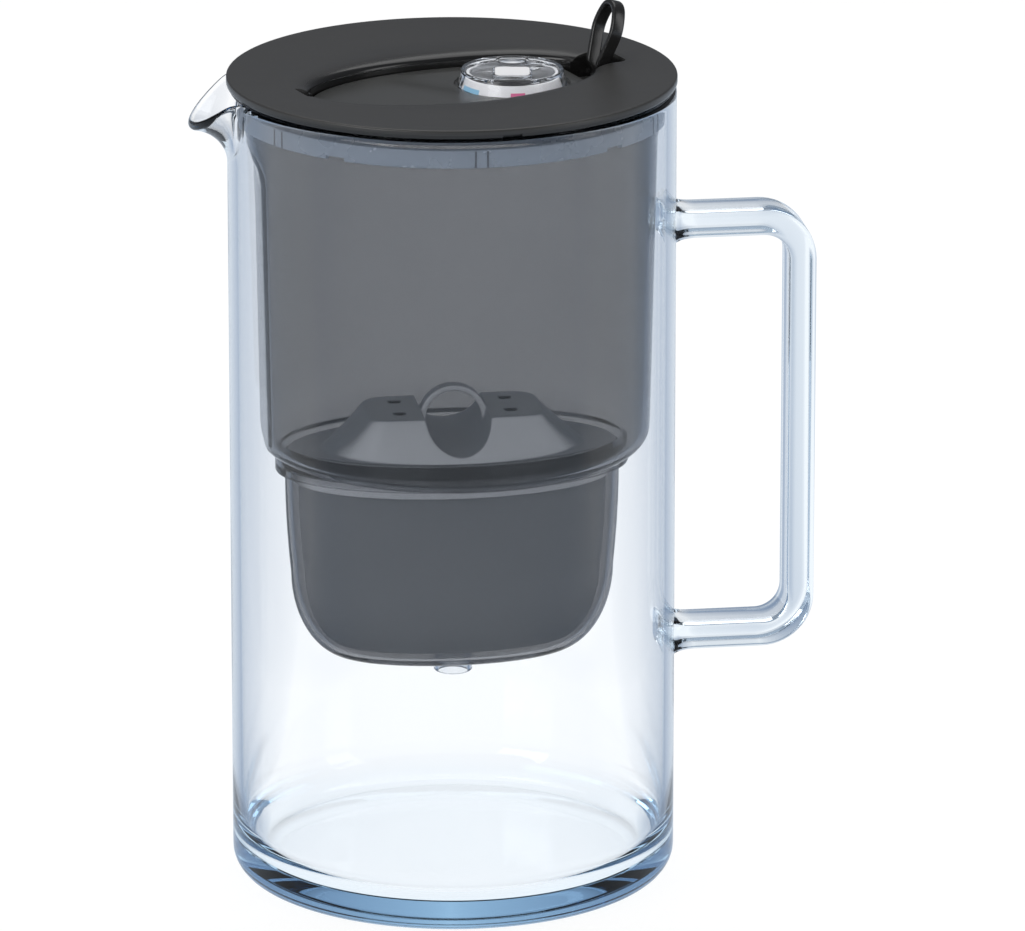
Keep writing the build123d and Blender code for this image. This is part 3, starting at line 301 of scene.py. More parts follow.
# --- lines ----------------------------------------------------------------------------
def rounded_path(corners, steps=6):
    """A line through (x, z) and (x, z, radius) corners, with an arc at each corner that has a radius."""
    line = []
    for index, corner in enumerate(corners):
        if len(corner) == 2 or not corner[2]:
            line.append((corner[0], corner[1]))
            continue
        here = Vector(corner[:2])
        back = (Vector(corners[index - 1][:2]) - here).normalized()
        ahead = (Vector(corners[index + 1][:2]) - here).normalized()
        half = back.angle(ahead) / 2
        reach = corner[2] / math.tan(half)
        centre = here + (back + ahead).normalized() * corner[2] / math.sin(half)
        start = here + back * reach - centre
        sweep = start.angle_signed(here + ahead * reach - centre)
        for step in range(steps + 1):
            turned = Matrix.Rotation(-sweep * step / steps, 2) @ start
            line.append(tuple(centre + turned))
    return line


def clamped(value):
    return max(0.0, min(1.0, value))


def eased(value):
    """A smooth step from 0 to 1."""
    value = clamped(value)
    return value * value * (3 - 2 * value)


def heading(turn):
    return Vector((math.cos(turn), math.sin(turn)))


def polar(r, direction, z):
    return Vector((r * math.cos(direction), r * math.sin(direction), z))


def bezier_line(first, handle_1, handle_2, last, steps):
    """Points of one cubic curve, both ends included."""
    line = []
    for step in range(steps + 1):
        t = step / steps
        s = 1 - t
        line.append(first * s ** 3 + handle_1 * 3 * s * s * t + handle_2 * 3 * s * t * t + last * t ** 3)
    return line


def through_points(points, steps):
    """A smooth line through all the points, both ends included."""
    line = []
    for index in range(len(points) - 1):
        before = points[max(index - 1, 0)]
        here, ahead = points[index], points[index + 1]
        after = points[min(index + 2, len(points) - 1)]
        line += bezier_line(here, here + (ahead - before) / 6, ahead - (after - here) / 6, ahead, steps)[:-1]
    return line + [points[-1]]


def rounded_section(half_x, half_y, radius, steps=6):
    """A rectangle with round corners, as points round its middle."""
    section = []
    for turn, (sx, sy) in enumerate(((1, 1), (-1, 1), (-1, -1), (1, -1))):
        for step in range(steps + 1):
            a = math.pi / 2 * (turn + step / steps)
            section.append((sx * (half_x - radius) + radius * math.cos(a),
                            sy * (half_y - radius) + radius * math.sin(a)))
    return section


def between(first, last, count):
    """Even steps from first to last, without the two ends."""
    return [first + (last - first) * k / count for k in range(1, count)]


def spaced(low, high, pitch):
    return between(low, high, max(1, round(abs(high - low) / pitch)))


def full_turn(count):
    return [math.tau * k / count for k in range(count)]


def ellipse_radius(a, b, direction):
    return a * b / math.hypot(b * math.cos(direction), a * math.sin(direction))


# --- meshes ---------------------------------------------------------------------------
def new_object(name, mesh):
    piece = bpy.data.objects.new(name, mesh)
    bpy.context.scene.collection.objects.link(piece)
    return piece


def skin(name, rings, closed=True):
    """A skin through rings of as many points each; closed joins the last to the first, else both get caps."""
    shape = bmesh.new()
    grid = [[shape.verts.new(point) for point in ring] for ring in rings]
    count = len(rings[0])
    pairs = list(zip(grid, grid[1:]))
    if closed:
        pairs.append((grid[-1], grid[0]))
    for low, high in pairs:
        for k in range(count):
            after = (k + 1) % count
            shape.faces.new((low[k], low[after], high[after], high[k]))
    for ring in () if closed else (grid[0], grid[-1]):
        tip = shape.verts.new(sum((v.co for v in ring), Vector()) / count)
        for k in range(count):
            shape.faces.new((ring[k], ring[(k + 1) % count], tip))
    bmesh.ops.recalc_face_normals(shape, faces=shape.faces)
    mesh = bpy.data.meshes.new(name)
    shape.to_mesh(mesh)
    shape.free()
    return new_object(name, mesh)


def turned(name, profile, count, closed=True):
    """A shape turned about +Z from a line of (radius, height)."""
    return skin(name, [[polar(r, a, z) for a in full_turn(count)] for r, z in profile], closed)


def swept(name, line, section, sides):
    """A section carried along a line; sides gives the two directions of the section at each point."""
    rings = []
    for place, (side_x, side_y) in zip(line, sides):
        rings.append([place + side_x * x + side_y * y for x, y in section])
    return skin(name, rings, closed=False)


def block(name, low, high, radius=0.0):
    """An upright block with round upright edges, by its two corners."""
    centre = (low + high) / 2
    half = (high - low) / 2
    section = rounded_section(half.x, half.y, radius or HAIR, 6 if radius else 1)
    rings = [[Vector((centre.x + x, centre.y + y, z)) for x, y in section] for z in (low.z, high.z)]
    return skin(name, rings, closed=False)


def lid_pin(name, u, z, half):
    """A round bar across the lid, u along it from its middle, with chamfered ends."""
    profile = [(PIN_R - PIN_EDGE, -half), (PIN_R, -half + PIN_EDGE), (PIN_R, half - PIN_EDGE),
               (PIN_R - PIN_EDGE, half)]
    bar = turned(name, profile, 48, closed=False)
    bar.data.transform(Matrix.Translation((u, 0, z)) @ Matrix.Rotation(math.pi / 2, 4, "X"))
    bar.data.transform(LID_FRAME)
    return bar


def settle_modifiers(piece):
    """Turns what the modifiers show into the piece's plain mesh."""
    bpy.context.view_layer.update()
    shown = piece.evaluated_get(bpy.context.evaluated_depsgraph_get())
    mesh = bpy.data.meshes.new_from_object(shown)
    piece.modifiers.clear()
    piece.data = mesh


def combine(piece, other, operation):
    """Joins, cuts or keeps what is common with the other piece, which is used up."""
    cut = piece.modifiers.new("cut", "BOOLEAN")
    cut.operation = operation
    cut.solver = "EXACT"
    cut.object = other
    settle_modifiers(piece)
    bpy.data.objects.remove(other)


def soften(piece, width, segments=2, limit=math.radians(40)):
    """Bevels the edges that are sharper than the limit."""
    bevel = piece.modifiers.new("soften", "BEVEL")
    bevel.width = width
    bevel.segments = segments
    bevel.limit_method = "ANGLE"
    bevel.angle_limit = limit
    bevel.use_clamp_overlap = True
    settle_modifiers(piece)


def merged_copy(node, name):
    """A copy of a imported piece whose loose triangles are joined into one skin."""
    shape = bmesh.new()
    shape.from_mesh(frame["nodes"][node].data)
    bmesh.ops.remove_doubles(shape, verts=shape.verts, dist=SAME_PLACE)
    bmesh.ops.dissolve_limit(shape, angle_limit=SAME_PLANE, verts=shape.verts, edges=shape.edges)
    mesh = bpy.data.meshes.new(name)
    shape.to_mesh(mesh)
    shape.free()
    return new_object(name, mesh)


def hand_over(piece, body, material, slot, *nodes, sharp=math.radians(35)):
    """Shades the piece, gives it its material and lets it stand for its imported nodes."""
    mesh = piece.data
    mesh.materials.clear()
    mesh.materials.append(material)
    mesh.polygons.foreach_set("use_smooth", [True] * len(mesh.polygons))
    mesh.set_sharp_from_angle(angle=sharp)
    mesh.update()
    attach(piece, body)
    if nodes:
        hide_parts(*nodes)
    return piece


def finish_packed(node, name, body, material, slot, sharp=math.radians(35), edge=0.0, segments=2,
                  limit=math.radians(40)):
    """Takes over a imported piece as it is, with its sharp edges softened by edge."""
    piece = merged_copy(node, name)
    if edge:
        soften(piece, edge, segments, limit)
    return hand_over(piece, body, material, slot, node, sharp=sharp)


# --- node trees -----------------------------------------------------------------------
DRIFT, HAZE, PATCHES = 22.0, 30.0, 60.0   # noise scales, per metre


class Socket:
    """An output socket that takes part in Python expressions; each operation adds a Math node."""

    def __init__(self, tree, socket):
        self.tree = tree
        self.socket = socket

    def math(self, operation, *others):
        return self.tree.add("ShaderNodeMath", {"operation": operation}, dict(enumerate((self, *others))))

    def within(self, low=0.0, high=1.0):
        return self.math("MAXIMUM", low).math("MINIMUM", high)

    def __add__(self, other):
        return self.math("ADD", other)

    def __sub__(self, other):
        return self.math("SUBTRACT", other)

    def __rsub__(self, other):
        return self.tree.add("ShaderNodeMath", {"operation": "SUBTRACT"}, {0: other, 1: self})

    def __mul__(self, other):
        return self.math("MULTIPLY", other)

    def __truediv__(self, other):
        return self.math("DIVIDE", other)

    def __lt__(self, other):
        return self.math("LESS_THAN", other)

    def __gt__(self, other):
        return self.math("GREATER_THAN", other)


class Tree:
    """A node tree with one method that adds any node."""

    def __init__(self, tree):
        self.tree = tree
        tree.nodes.clear()

    def add(self, kind, settings=None, values=None, out=0):
        """Adds a node: its settings first, then the values or links of its inputs."""
        node = self.tree.nodes.new(kind)
        for key, value in (settings or {}).items():
            setattr(node, key, value)
        for key, value in (values or {}).items():
            if isinstance(value, Socket):
                self.tree.links.new(value.socket, node.inputs[key])
            else:
                node.inputs[key].default_value = value
        return Socket(self, node.outputs[out]) if len(node.outputs) else node

    def place(self):
        """Where a point of the piece lies, in metres in the shared frame."""
        return self.add("ShaderNodeTexCoord", out="Object")

    def parts(self, vector):
        node = self.add("ShaderNodeSeparateXYZ", None, {0: vector}).socket.node
        return [Socket(self, out) for out in node.outputs]

    def noise(self, scale, detail=2.0):
        """Noise from 0 to 1, with its scale per metre."""
        values = {"Vector": self.place(), "Scale": scale, "Detail": detail}
        return self.add("ShaderNodeTexNoise", None, values, out="Fac")

    def blend(self, factor, first, second):
        """A colour between two others."""
        factor_in, first_in, second_in, colour_out = 0, 6, 7, 2
        values = {factor_in: factor, first_in: opaque(first), second_in: opaque(second)}
        return self.add("ShaderNodeMix", {"data_type": "RGBA"}, values, colour_out)

    def rays(self, *kinds):
        """One Light Path socket for each kind of ray."""
        node = self.tree.nodes.new("ShaderNodeLightPath")
        return [Socket(self, node.outputs[f"Is {kind} Ray"]) for kind in kinds]

    def rubbed(self, roughness):
        """A roughness that drifts in patches."""
        return (self.noise(PATCHES, 4.0) - 0.5) * 0.1 + roughness

    def bump(self, height, strength, distance):
        values = {"Height": height, "Strength": strength, "Distance": distance}
        return self.add("ShaderNodeBump", None, values, out="Normal")


def opaque(value):
    """A colour with its alpha, from three numbers or one; a socket stays as it is."""
    if isinstance(value, Socket):
        return value
    if isinstance(value, (int, float)):
        return (value, value, value, 1.0)
    return (*tuple(value)[:3], 1.0)


def material_tree(name):
    material = bpy.data.materials.new(name)
    material.use_nodes = True
    return material, Tree(material.node_tree)


def surface(tree, values, volume=None, lets_light_through=None):
    """Ends a material in one Principled shader, with clear shadows where light passes it."""
    shader = tree.add("ShaderNodeBsdfPrincipled", None, values)
    if lets_light_through is not None:
        clear = tree.add("ShaderNodeBsdfTransparent", None, {"Color": opaque(lets_light_through)})
        shadow, diffuse = tree.rays("Shadow", "Diffuse")
        passing = shadow.math("MAXIMUM", diffuse)
        shader = tree.add("ShaderNodeMixShader", None, {0: passing, 1: shader, 2: clear})
    ends = {"Surface": shader}
    if volume is not None:
        ends["Volume"] = volume
    tree.add("ShaderNodeOutputMaterial", None, ends)


def moulded(name, base, roughness, grain=900.0, grain_depth=0.006, drift=0.04, **values):
    """Plastic or rubber: slow drift of tone, faint rubbed patches and a fine moulded grain."""
    material, tree = material_tree(name)
    slow = tree.noise(DRIFT)
    fine = tree.noise(grain)
    darker = tuple(c * (1 - drift) for c in base)
    lighter = tuple(min(1.0, c * (1 + drift)) for c in base)
    surface(tree, {
        "Base Color": tree.blend(slow, darker, lighter),
        "Roughness": tree.rubbed(roughness),
        "Normal": tree.bump(fine, grain_depth, GRAIN_DEEP),
        **values,
    })
    return material


def see_through(tree, base, bending, normal, light, deep=None, density=0.0):
    """Ends a material in smooth glass or plastic; deep is the colour that light turns inside it."""
    tint = None
    if deep is not None:
        tint = tree.add("ShaderNodeVolumeAbsorption", None, {"Color": opaque(deep), "Density": density})
    surface(tree, {
        "Base Color": base,
        "Roughness": 0.0,
        "IOR": bending,
        "Transmission Weight": 1.0,
        "Normal": normal,
    }, tint, light)


def clear_glass(glass):
    material, tree = material_tree("clear_glass")
    ripple = tree.bump(tree.noise(14.0, 1.0), glass.waviness, 2.0 * MM)
    see_through(tree, opaque(1.0), glass.bending, ripple, (0.97, 0.98, 0.99), glass.tint, glass.tint_density)
    return material


def smoky_plastic(hopper):
    material, tree = material_tree("smoky_plastic")
    smoke = tuple(hopper.smoke)
    base = tree.blend(tree.noise(HAZE), tuple(c * 0.97 for c in smoke), smoke)
    ripple = tree.bump(tree.noise(18.0, 1.0), 0.03, 1.0 * MM)
    see_through(tree, base, hopper.bending, ripple, (0.98, 0.98, 0.985), hopper.smoke_deep,
                hopper.smoke_density)
    return material


def clear_plastic(name, tint=(0.97, 0.98, 0.99), bending=1.47):
    material, tree = material_tree(name)
    haze = tree.noise(80.0)
    base = tree.blend(haze, tuple(c * 0.985 for c in tint), tint)
    see_through(tree, base, bending, tree.bump(haze, 0.02, 0.2 * MM), (0.97, 0.97, 0.98))
    return material


def milky_silicone():
    """Translucent silicone: part of the light passes straight through, the rest is scattered."""
    material, tree = material_tree("clear_silicone")
    haze = tree.noise(120.0, 3.0)
    surface(tree, {
        "Base Color": tree.blend(haze, (0.22, 0.25, 0.30), (0.25, 0.28, 0.33)),
        "Roughness": haze * 0.1 + 0.22,
        "IOR": 1.2,
        "Transmission Weight": 0.3,
    }, None, (0.8, 0.84, 0.9))
    return material


def cap_plastic_painted_light(sizes):
    """Grey plastic with painted light: pale on the front and back faces, painted shade darker over the humps
    and towards the top, black painted shade in the vents.
    """
    material, tree = material_tree("cap_plastic_painted_light")
    front = tree.add("ShaderNodeAttribute", {"attribute_name": "lit_front_share"}, out="Fac")
    vent = tree.add("ShaderNodeAttribute", {"attribute_name": "vent_shade_share"}, out="Fac")
    low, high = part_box("cartridge_cap")
    _, _, z = tree.parts(tree.place())
    # painted shade: the pale share fades towards the top of the cap, under the lid
    fall = ((z - low.z) / (high.z - low.z)) * -0.45 + 1.0
    paler = front * fall * (tree.noise(HAZE) * 0.1 + 0.93)
    tone = tree.blend(paler, tuple(sizes.cap_shaded_top), tuple(sizes.cap_lit_colour))
    surface(tree, {
        "Base Color": tree.blend(vent, tone, (0.01, 0.01, 0.011)),
        "Roughness": tree.noise(PATCHES, 4.0) * 0.1 + 0.28,
        "Normal": tree.bump(tree.noise(500.0), 0.006, GRAIN_DEEP),
    })
    return material


def lid_plastic(lid):
    """Satin black on top; in the recess and down the edge a painted shade darkens the black, and the plastic
    is glossier there.
    """
    material, tree = material_tree("lid_black")
    _, _, z = tree.parts(tree.place())
    # top is 1 on the lid's top and 0 in the recess and down the edge, where painted shade darkens the black
    top = ((z - LID_HIGH.z + lid.satin_drop) / lid.satin_fade).within()
    slow = tree.noise(DRIFT) * 0.2 + 0.8
    surface(tree, {
        "Base Color": tree.blend(top * slow, tuple(lid.painted_shade_black), tuple(lid.black)),
        "Roughness": tree.rubbed(top * (lid.sheen - lid.deep_sheen) + lid.deep_sheen),
        "Normal": tree.bump(tree.noise(700.0), 0.01, GRAIN_DEEP),
    })
    return material


def brushed_pin():
    material, tree = material_tree("pin_steel")
    streaks = tree.noise(2500.0)
    surface(tree, {
        "Base Color": tree.blend(streaks, (0.62, 0.62, 0.63), (0.80, 0.80, 0.81)),
        "Metallic": 1.0,
        "Roughness": streaks * 0.12 + 0.16,
        "Normal": tree.bump(streaks, 0.05, 0.02 * MM),
    })
    return material


def carbon_grains():
    """Loose grains: dark carbon with some pale resin beads between."""
    material, tree = material_tree("carbon_grains")
    cell = ("ShaderNodeTexVoronoi", {"feature": "F1"}, {"Vector": tree.place(), "Scale": 1400.0})
    depth, tone = tree.add(*cell), tree.add(*cell, out="Color")
    pale = tree.parts(tone)[0] > 0.72
    surface(tree, {
        "Base Color": tree.blend(pale, (0.025, 0.025, 0.028), (0.50, 0.40, 0.22)),
        "Roughness": depth * 0.3 + 0.45,
        "Normal": tree.bump(1 - depth, 0.8, 0.6 * MM),
    })
    return material


def dial_print(dial):
    """White scale ring with a pale blue stretch and a pink one along its foot."""
    material, tree = material_tree("scale_white")
    centred = tree.add("ShaderNodeMapping", {"vector_type": "POINT"}, {
        "Vector": tree.place(), "Location": (-DIAL_PLACE.x, -DIAL_PLACE.y, 0.0)})
    x, y, z = tree.parts(centred)
    around = y.math("ARCTAN2", x)
    low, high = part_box("dial_scale")
    foot = z < low.z + (high.z - low.z) * dial.print_tall

    def stretch(first, last):
        return (around < last) * (around > first) * foot

    fleck = tree.noise(600.0)
    white = tree.blend(fleck, (0.86, 0.86, 0.87), (0.93, 0.93, 0.94))
    with_blue = tree.blend(stretch(dial.blue_from, dial.blue_to), white, (0.30, 0.60, 0.82))
    surface(tree, {
        "Base Color": tree.blend(stretch(dial.pink_from, dial.pink_to), with_blue, (0.80, 0.16, 0.34)),
        "Roughness": fleck * 0.1 + 0.35,
    })
    return material


# --- glass ----------------------------------------------------------------------------
# how the glass is drawn: where its plain wall runs, how it bends to the lip, how far the lip's curves are
# pulled, and how finely
LIP_FADE, LIP_FADE_WIDE = math.radians(25), math.radians(9)
LIP_BLEND = 1.2 * MM
LIP_TURN, CLIMB_TURN, TURN_CURVE = math.radians(98), math.radians(82), 0.6
OUTER_START, INNER_END = 20 * MM, 32 * MM
OUTER_PULL, OUTER_LIP_PULL, INNER_LIP_PULL, INNER_PULL = 6 * MM, 5.5 * MM, 6.5 * MM, 7 * MM
WALL_STEPS, SPOUT_STEPS, LIP_STEPS, CORNER_STEPS, HALVINGS = 40, 18, 8, 8, 40
SPOUT_SIDE, SPOUT_COLUMNS, ROUND_COLUMNS = math.radians(28), 100, 220


def spout_lip(off, glass):
    """Radius and height of the lip's middle line, off radians round from the spout's middle."""
    run = glass.spout_ring * math.cos(glass.spout_lean)
    ring_middle = JUG_R + glass.spout_reach - run
    rim_r, rim_z = JUG_R - glass.wall / 2, RIM_Z - glass.wall / 2
    low, high = 0.0, math.pi / 2
    for _ in range(HALVINGS):
        turn = (low + high) / 2
        if math.atan2(glass.spout_ring * math.sin(turn), ring_middle + run * math.cos(turn)) < off:
            low = turn
        else:
            high = turn
    r = math.hypot(ring_middle + run * math.cos(low), glass.spout_ring * math.sin(low)) - glass.lip / 2
    fall = glass.spout_ring * math.sin(glass.spout_lean) * (1 - math.cos(low))
    fade = eased((LIP_FADE - off) / LIP_FADE_WIDE)
    gap = rim_z - (RIM_Z - glass.spout_drop + fall)
    return rim_r + max(0.0, r - rim_r) * fade, rim_z - 0.5 * (gap + math.hypot(gap, LIP_BLEND)) * fade


def glass_column(direction, glass):
    """The glass wall at one direction as (radius, height), from the foot over the lip to the floor."""
    off = abs(math.remainder(direction - math.pi + glass.spout_turn, math.tau))
    outer_r, inner_r = JUG_R, JUG_R - glass.wall
    lip_r, lip_z = spout_lip(off, glass)
    out = min(1.0, (lip_r - (outer_r + inner_r) / 2) / glass.spout_reach)
    outer_low = lip_z - glass.spout_depth
    inner_low = outer_low + glass.wall / 2
    half = (glass.wall + (glass.lip - glass.wall) * out) / 2
    aim = heading(math.pi / 2 - LIP_TURN * out ** TURN_CURVE)
    across = Vector((-aim.y, aim.x))
    climb = heading(math.pi / 2 - CLIMB_TURN * out ** TURN_CURVE)
    lip_mid = Vector((lip_r, lip_z))
    outer_lip, inner_lip = lip_mid - across * half, lip_mid + across * half
    column = rounded_path([(outer_r * 0.5, 0.0), (outer_r, 0.0, glass.foot_corner), (outer_r, OUTER_START)],
                          CORNER_STEPS)
    column += [(outer_r, z) for z in between(OUTER_START, outer_low, WALL_STEPS)]
    column += bezier_line(Vector((outer_r, outer_low)), Vector((outer_r, outer_low + OUTER_PULL)),
                          outer_lip - climb * OUTER_LIP_PULL, outer_lip, SPOUT_STEPS)
    for a in between(0.0, math.pi, LIP_STEPS):
        column.append(lip_mid - across * half * math.cos(a) + aim * half * math.sin(a))
    column += bezier_line(inner_lip, inner_lip - climb * INNER_LIP_PULL,
                          Vector((inner_r, inner_low + INNER_PULL)), Vector((inner_r, inner_low)),
                          SPOUT_STEPS)
    column += [(inner_r, z) for z in between(inner_low, INNER_END, WALL_STEPS)]
    column += rounded_path([(inner_r, INNER_END), (inner_r, glass.base, glass.floor_corner),
                            (inner_r * 0.4, glass.base)], CORNER_STEPS)
    return column


ARM_PITCH, GRIP_PITCH, ARM_LEAST = 1 * MM, 4 * MM, 20 * MM   # rings closer on the arms, for the roots


def strap_line(handle):
    """Middle of the handle's strap in the upright plane, from root to root."""
    out_x = HANDLE_HIGH.x - handle.inset - handle.thick / 2
    root_x = JUG_R - handle.root_sunk
    bend = handle.bend - handle.thick / 2
    top_z = middle("glass_handle").z + handle.drop
    low_z = middle("glass_handle").z - handle.drop
    line = rounded_path([(root_x, top_z), (out_x, top_z, bend), (out_x, low_z, bend), (root_x, low_z)], 14)
    dense = []
    for (x0, z0), (x1, z1) in zip(line, line[1:]):
        pitch = ARM_PITCH if abs(x1 - x0) > ARM_LEAST else GRIP_PITCH
        steps = max(1, round(math.hypot(x1 - x0, z1 - z0) / pitch))
        dense += [(x0, z0), *zip(between(x0, x1, steps), between(z0, z1, steps))]
    return dense + [line[-1]]


class PITCHER_OT_glass(Operator):
    """Blows the glass jug with its spout and welds the strap handle to it"""

    bl_idname = "pitcher.glass"
    bl_label = "Glass jug and handle"

    def execute(self, context):
        glass = context.scene.pitcher_glass
        handle = context.scene.pitcher_handle
        spout = math.pi - glass.spout_turn
        rest = math.tau - 2 * SPOUT_SIDE
        directions = [spout - SPOUT_SIDE + 2 * SPOUT_SIDE * k / SPOUT_COLUMNS for k in range(SPOUT_COLUMNS)]
        directions += [spout + SPOUT_SIDE + rest * k / ROUND_COLUMNS for k in range(ROUND_COLUMNS)]
        columns = [glass_column(a, glass) for a in directions]
        rings = [[polar(r, a, z) for a, (r, z) in zip(directions, row)] for row in zip(*columns)]
        body = skin("glass_jug_and_handle", rings, closed=False)
        level = Vector((0, 1, 0))
        line = [Vector((x, 0.0, z)) for x, z in strap_line(handle)]
        rings = []
        for place, before, after in zip(line, line[:1] + line, line[1:] + line[-1:]):
            side = level.cross((after - before).normalized())
            reach = clamped(1 - (place.x - JUG_R) / handle.root_length)
            flare = 1 - math.sqrt(1 - reach ** 2)
            half_y = (handle.wide + handle.root_wide * flare) / 2
            half_n = (handle.thick + handle.root_tall * flare) / 2
            section = rounded_section(half_y, half_n, handle.edge * (1 + 0.5 * flare), 7)
            rings.append([place + level * x + side * y for x, y in section])
        strap = skin("strap", rings, closed=False)
        combine(body, strap, "UNION")
        hand_over(body, "jug", clear_glass(glass), "clear_glass", "glass_jug", "glass_handle",
                  sharp=math.radians(50))
        return {"FINISHED"}


# --- hopper ---------------------------------------------------------------------------
def oval_levels(top, a, b, draft, shoulder, flat_a, flat_b, low):
    """Half axes and height of each oval from a mouth to its flat bottom."""
    levels = []
    for part in (0.0, 0.2, 0.4, 0.6, 0.8):
        drawn_in = draft * part ** 2
        levels.append((a - drawn_in, b - drawn_in, top - (top - low - shoulder) * part))
    for step in range(17):
        turn = math.pi / 2 * step / 16
        levels.append((flat_a + (a - draft - flat_a) * math.cos(turn),
                       flat_b + (b - draft - flat_b) * math.cos(turn), low + shoulder * (1 - math.sin(turn))))
    return levels


def oval_ring(a, b, z, directions):
    return [polar(ellipse_radius(a, b, d), d, z) for d in directions]


MOUTH_INSET = 0.1 * MM   # the wall's inside stands this much further in at the mouth
FLOOR_INSET = 0.3 * MM   # and this much at the floor
LEDGE_TALL = 0.6 * MM
WELL_ROUND = ((0.0, 1.0 * MM), (0.3 * MM, 0.3 * MM), (1.0 * MM, 0.0))   # in and up, round the well's foot
FLOOR_TURN = math.radians(76)   # the corner turns this far before the floor runs to the well
FLUTE_LEAN = 0.8 * MM    # the flat loses this less than the wall
FLUTE_EDGE = 0.35 * MM   # softens the line between flat and round wall
FLUTE_REACH = 3 * MM     # a flat further out than this leaves the wall alone


def fluted(radius, z, direction, flat, top, runout):
    """Radius where a flat on the spout side cuts the round wall, easing out above its top."""
    off = math.pi - abs(math.remainder(direction, math.tau))
    if off > math.pi / 3:
        return radius
    cut = flat / math.cos(off) + (radius - flat) * clamped((z - top) / runout) ** 2 * 1.2
    gap = radius - cut
    return radius - 0.5 * (gap + math.hypot(gap, FLUTE_EDGE)) if gap > -FLUTE_REACH else radius


class PITCHER_OT_hopper(Operator):
    """Moulds the smoky hopper with its flange, flat, well and oval pocket"""

    bl_idname = "pitcher.hopper"
    bl_label = "Hopper"

    def execute(self, context):
        hopper = context.scene.pitcher_hopper
        directions = full_turn(288)
        top_r, wall = hopper.top_radius, hopper.wall
        low_r = top_r - hopper.taper
        inner_r, mouth_r = low_r - wall - FLOOR_INSET, top_r - wall - MOUTH_INSET
        flange_r, flange_top = HOPPER_HIGH.x, HOPPER_HIGH.z
        collar_z, step_z = COLLAR_LOW.z, RIM_Z - hopper.step_drop
        floor_z = RIM_Z - hopper.deep
        seat_z = floor_z - hopper.seat_drop
        corner_z = floor_z + hopper.corner
        pocket_a, pocket_b = CUP_HIGH.x + hopper.pocket_gap, CUP_HIGH.y + hopper.pocket_gap
        well_a, well_b = pocket_a + hopper.seat_ledge, pocket_b + hopper.seat_ledge
        pocket_low = CUP_LOW.z - hopper.pocket_foot
        flat = low_r - hopper.flute - FLOOR_INSET
        flute_top = RIM_Z - hopper.flute_drop

        def oval(a, b, z):
            return oval_ring(a, b, z, directions)

        def round_wall(r, z, shift):
            lean = (z - floor_z) / (flute_top - floor_z) * (hopper.taper - FLUTE_LEAN)
            return [polar(fluted(r, z, d, flat - shift + lean, flute_top, hopper.flute_runout), d, z)
                    for d in directions]

        def floor_rings(a, b, corner_r, corner, level, shift):
            """Wall to floor over the corner, then level to the well's oval edge."""
            rings = []
            for step in range(9):
                turn = FLOOR_TURN * step / 8
                rings.append(round_wall(corner_r - corner + corner * math.cos(turn),
                                        level + corner - corner * math.sin(turn), shift))
            outer = rings[-1]
            for part in (0.25, 0.5, 0.75, 1.0):
                ring = []
                for point, d in zip(outer, directions):
                    r = math.hypot(point.x, point.y)
                    r += (ellipse_radius(a, b, d) - r) * part
                    over = max(0.0, r - (corner_r - corner))
                    ring.append(polar(r, d, level + corner - math.sqrt(max(0.0, corner ** 2 - over ** 2))))
                rings.append(ring)
            return rings

        fine, small, soft = 0.1 * MM, 0.2 * MM, 0.35 * MM
        outline = rounded_path([
            (mouth_r, flange_top), (flange_r, flange_top, soft), (flange_r, RIM_Z, soft),
            (top_r, RIM_Z, 0.5 * MM), (top_r, collar_z, fine), (top_r + hopper.ledge, collar_z, small),
            (top_r + hopper.ledge, collar_z - LEDGE_TALL, small), (top_r, collar_z - LEDGE_TALL, fine),
            (top_r, step_z, 0.15 * MM), (top_r - hopper.step, step_z, fine), (low_r, corner_z)], 4)[:-1]
        rings = [round_wall(r, z, 0.0) for r, z in outline]
        last_r, last_z = outline[-1]
        for z in spaced(last_z, corner_z, 3 * MM):
            part = (last_z - z) / (last_z - corner_z)
            rings.append(round_wall(last_r + (low_r - last_r) * part, z, 0.0))
        rings += floor_rings(well_a + wall, well_b + wall, low_r, hopper.corner, floor_z, 0.0)
        for inset, rise in WELL_ROUND:
            rings.append(oval(well_a + wall - inset, well_b + wall - inset, seat_z - wall + rise))
        shape = (hopper.pocket_draft, hopper.pocket_shoulder)
        flat_a, flat_b = hopper.pocket_flat_a, hopper.pocket_flat_b
        rings += [oval(*level) for level in oval_levels(
            seat_z - wall, pocket_a + wall, pocket_b + wall, *shape, flat_a + 1 * MM, flat_b + 1 * MM,
            pocket_low - wall)]
        hole = NOZZLE_HIGH.x - NOZZLE_FLANGE
        rings += [oval(hole, hole, pocket_low - wall), oval(hole, hole, pocket_low)]
        inner = oval_levels(seat_z, pocket_a, pocket_b, *shape, flat_a, flat_b, pocket_low)
        rings += [oval(*level) for level in reversed(inner)]
        rings.append(oval(well_a, well_b, seat_z))
        rings += reversed(floor_rings(well_a, well_b, inner_r, hopper.corner - wall, floor_z + wall, wall))
        for z in spaced(corner_z, flange_top, 3 * MM):
            part = (z - corner_z) / (flange_top - corner_z)
            rings.append(round_wall(inner_r + (mouth_r - inner_r) * part, z, wall))
        piece = skin("hopper_moulding", rings)
        hand_over(piece, "hopper", smoky_plastic(hopper), "smoke_plastic", "hopper", sharp=math.radians(40))
        return {"FINISHED"}


COLLAR_FIT, COLLAR_THICK = 0.05 * MM, 1.6 * MM
NOTCHES = [math.radians(d) for d in (-130, -50, 50, 130)]
NOTCH_HALF, NOTCH_TALL = 3.15 * MM, 1.2 * MM
NOTCH_EDGE = 0.002       # radians from a notch's side to the full band
NOZZLE_FLANGE, NOZZLE_BORE = 1.2 * MM, 4.6 * MM
RIB_PAIRS, RIB_GAP, RIB_THICK = 6, 3.6 * MM, 0.5 * MM


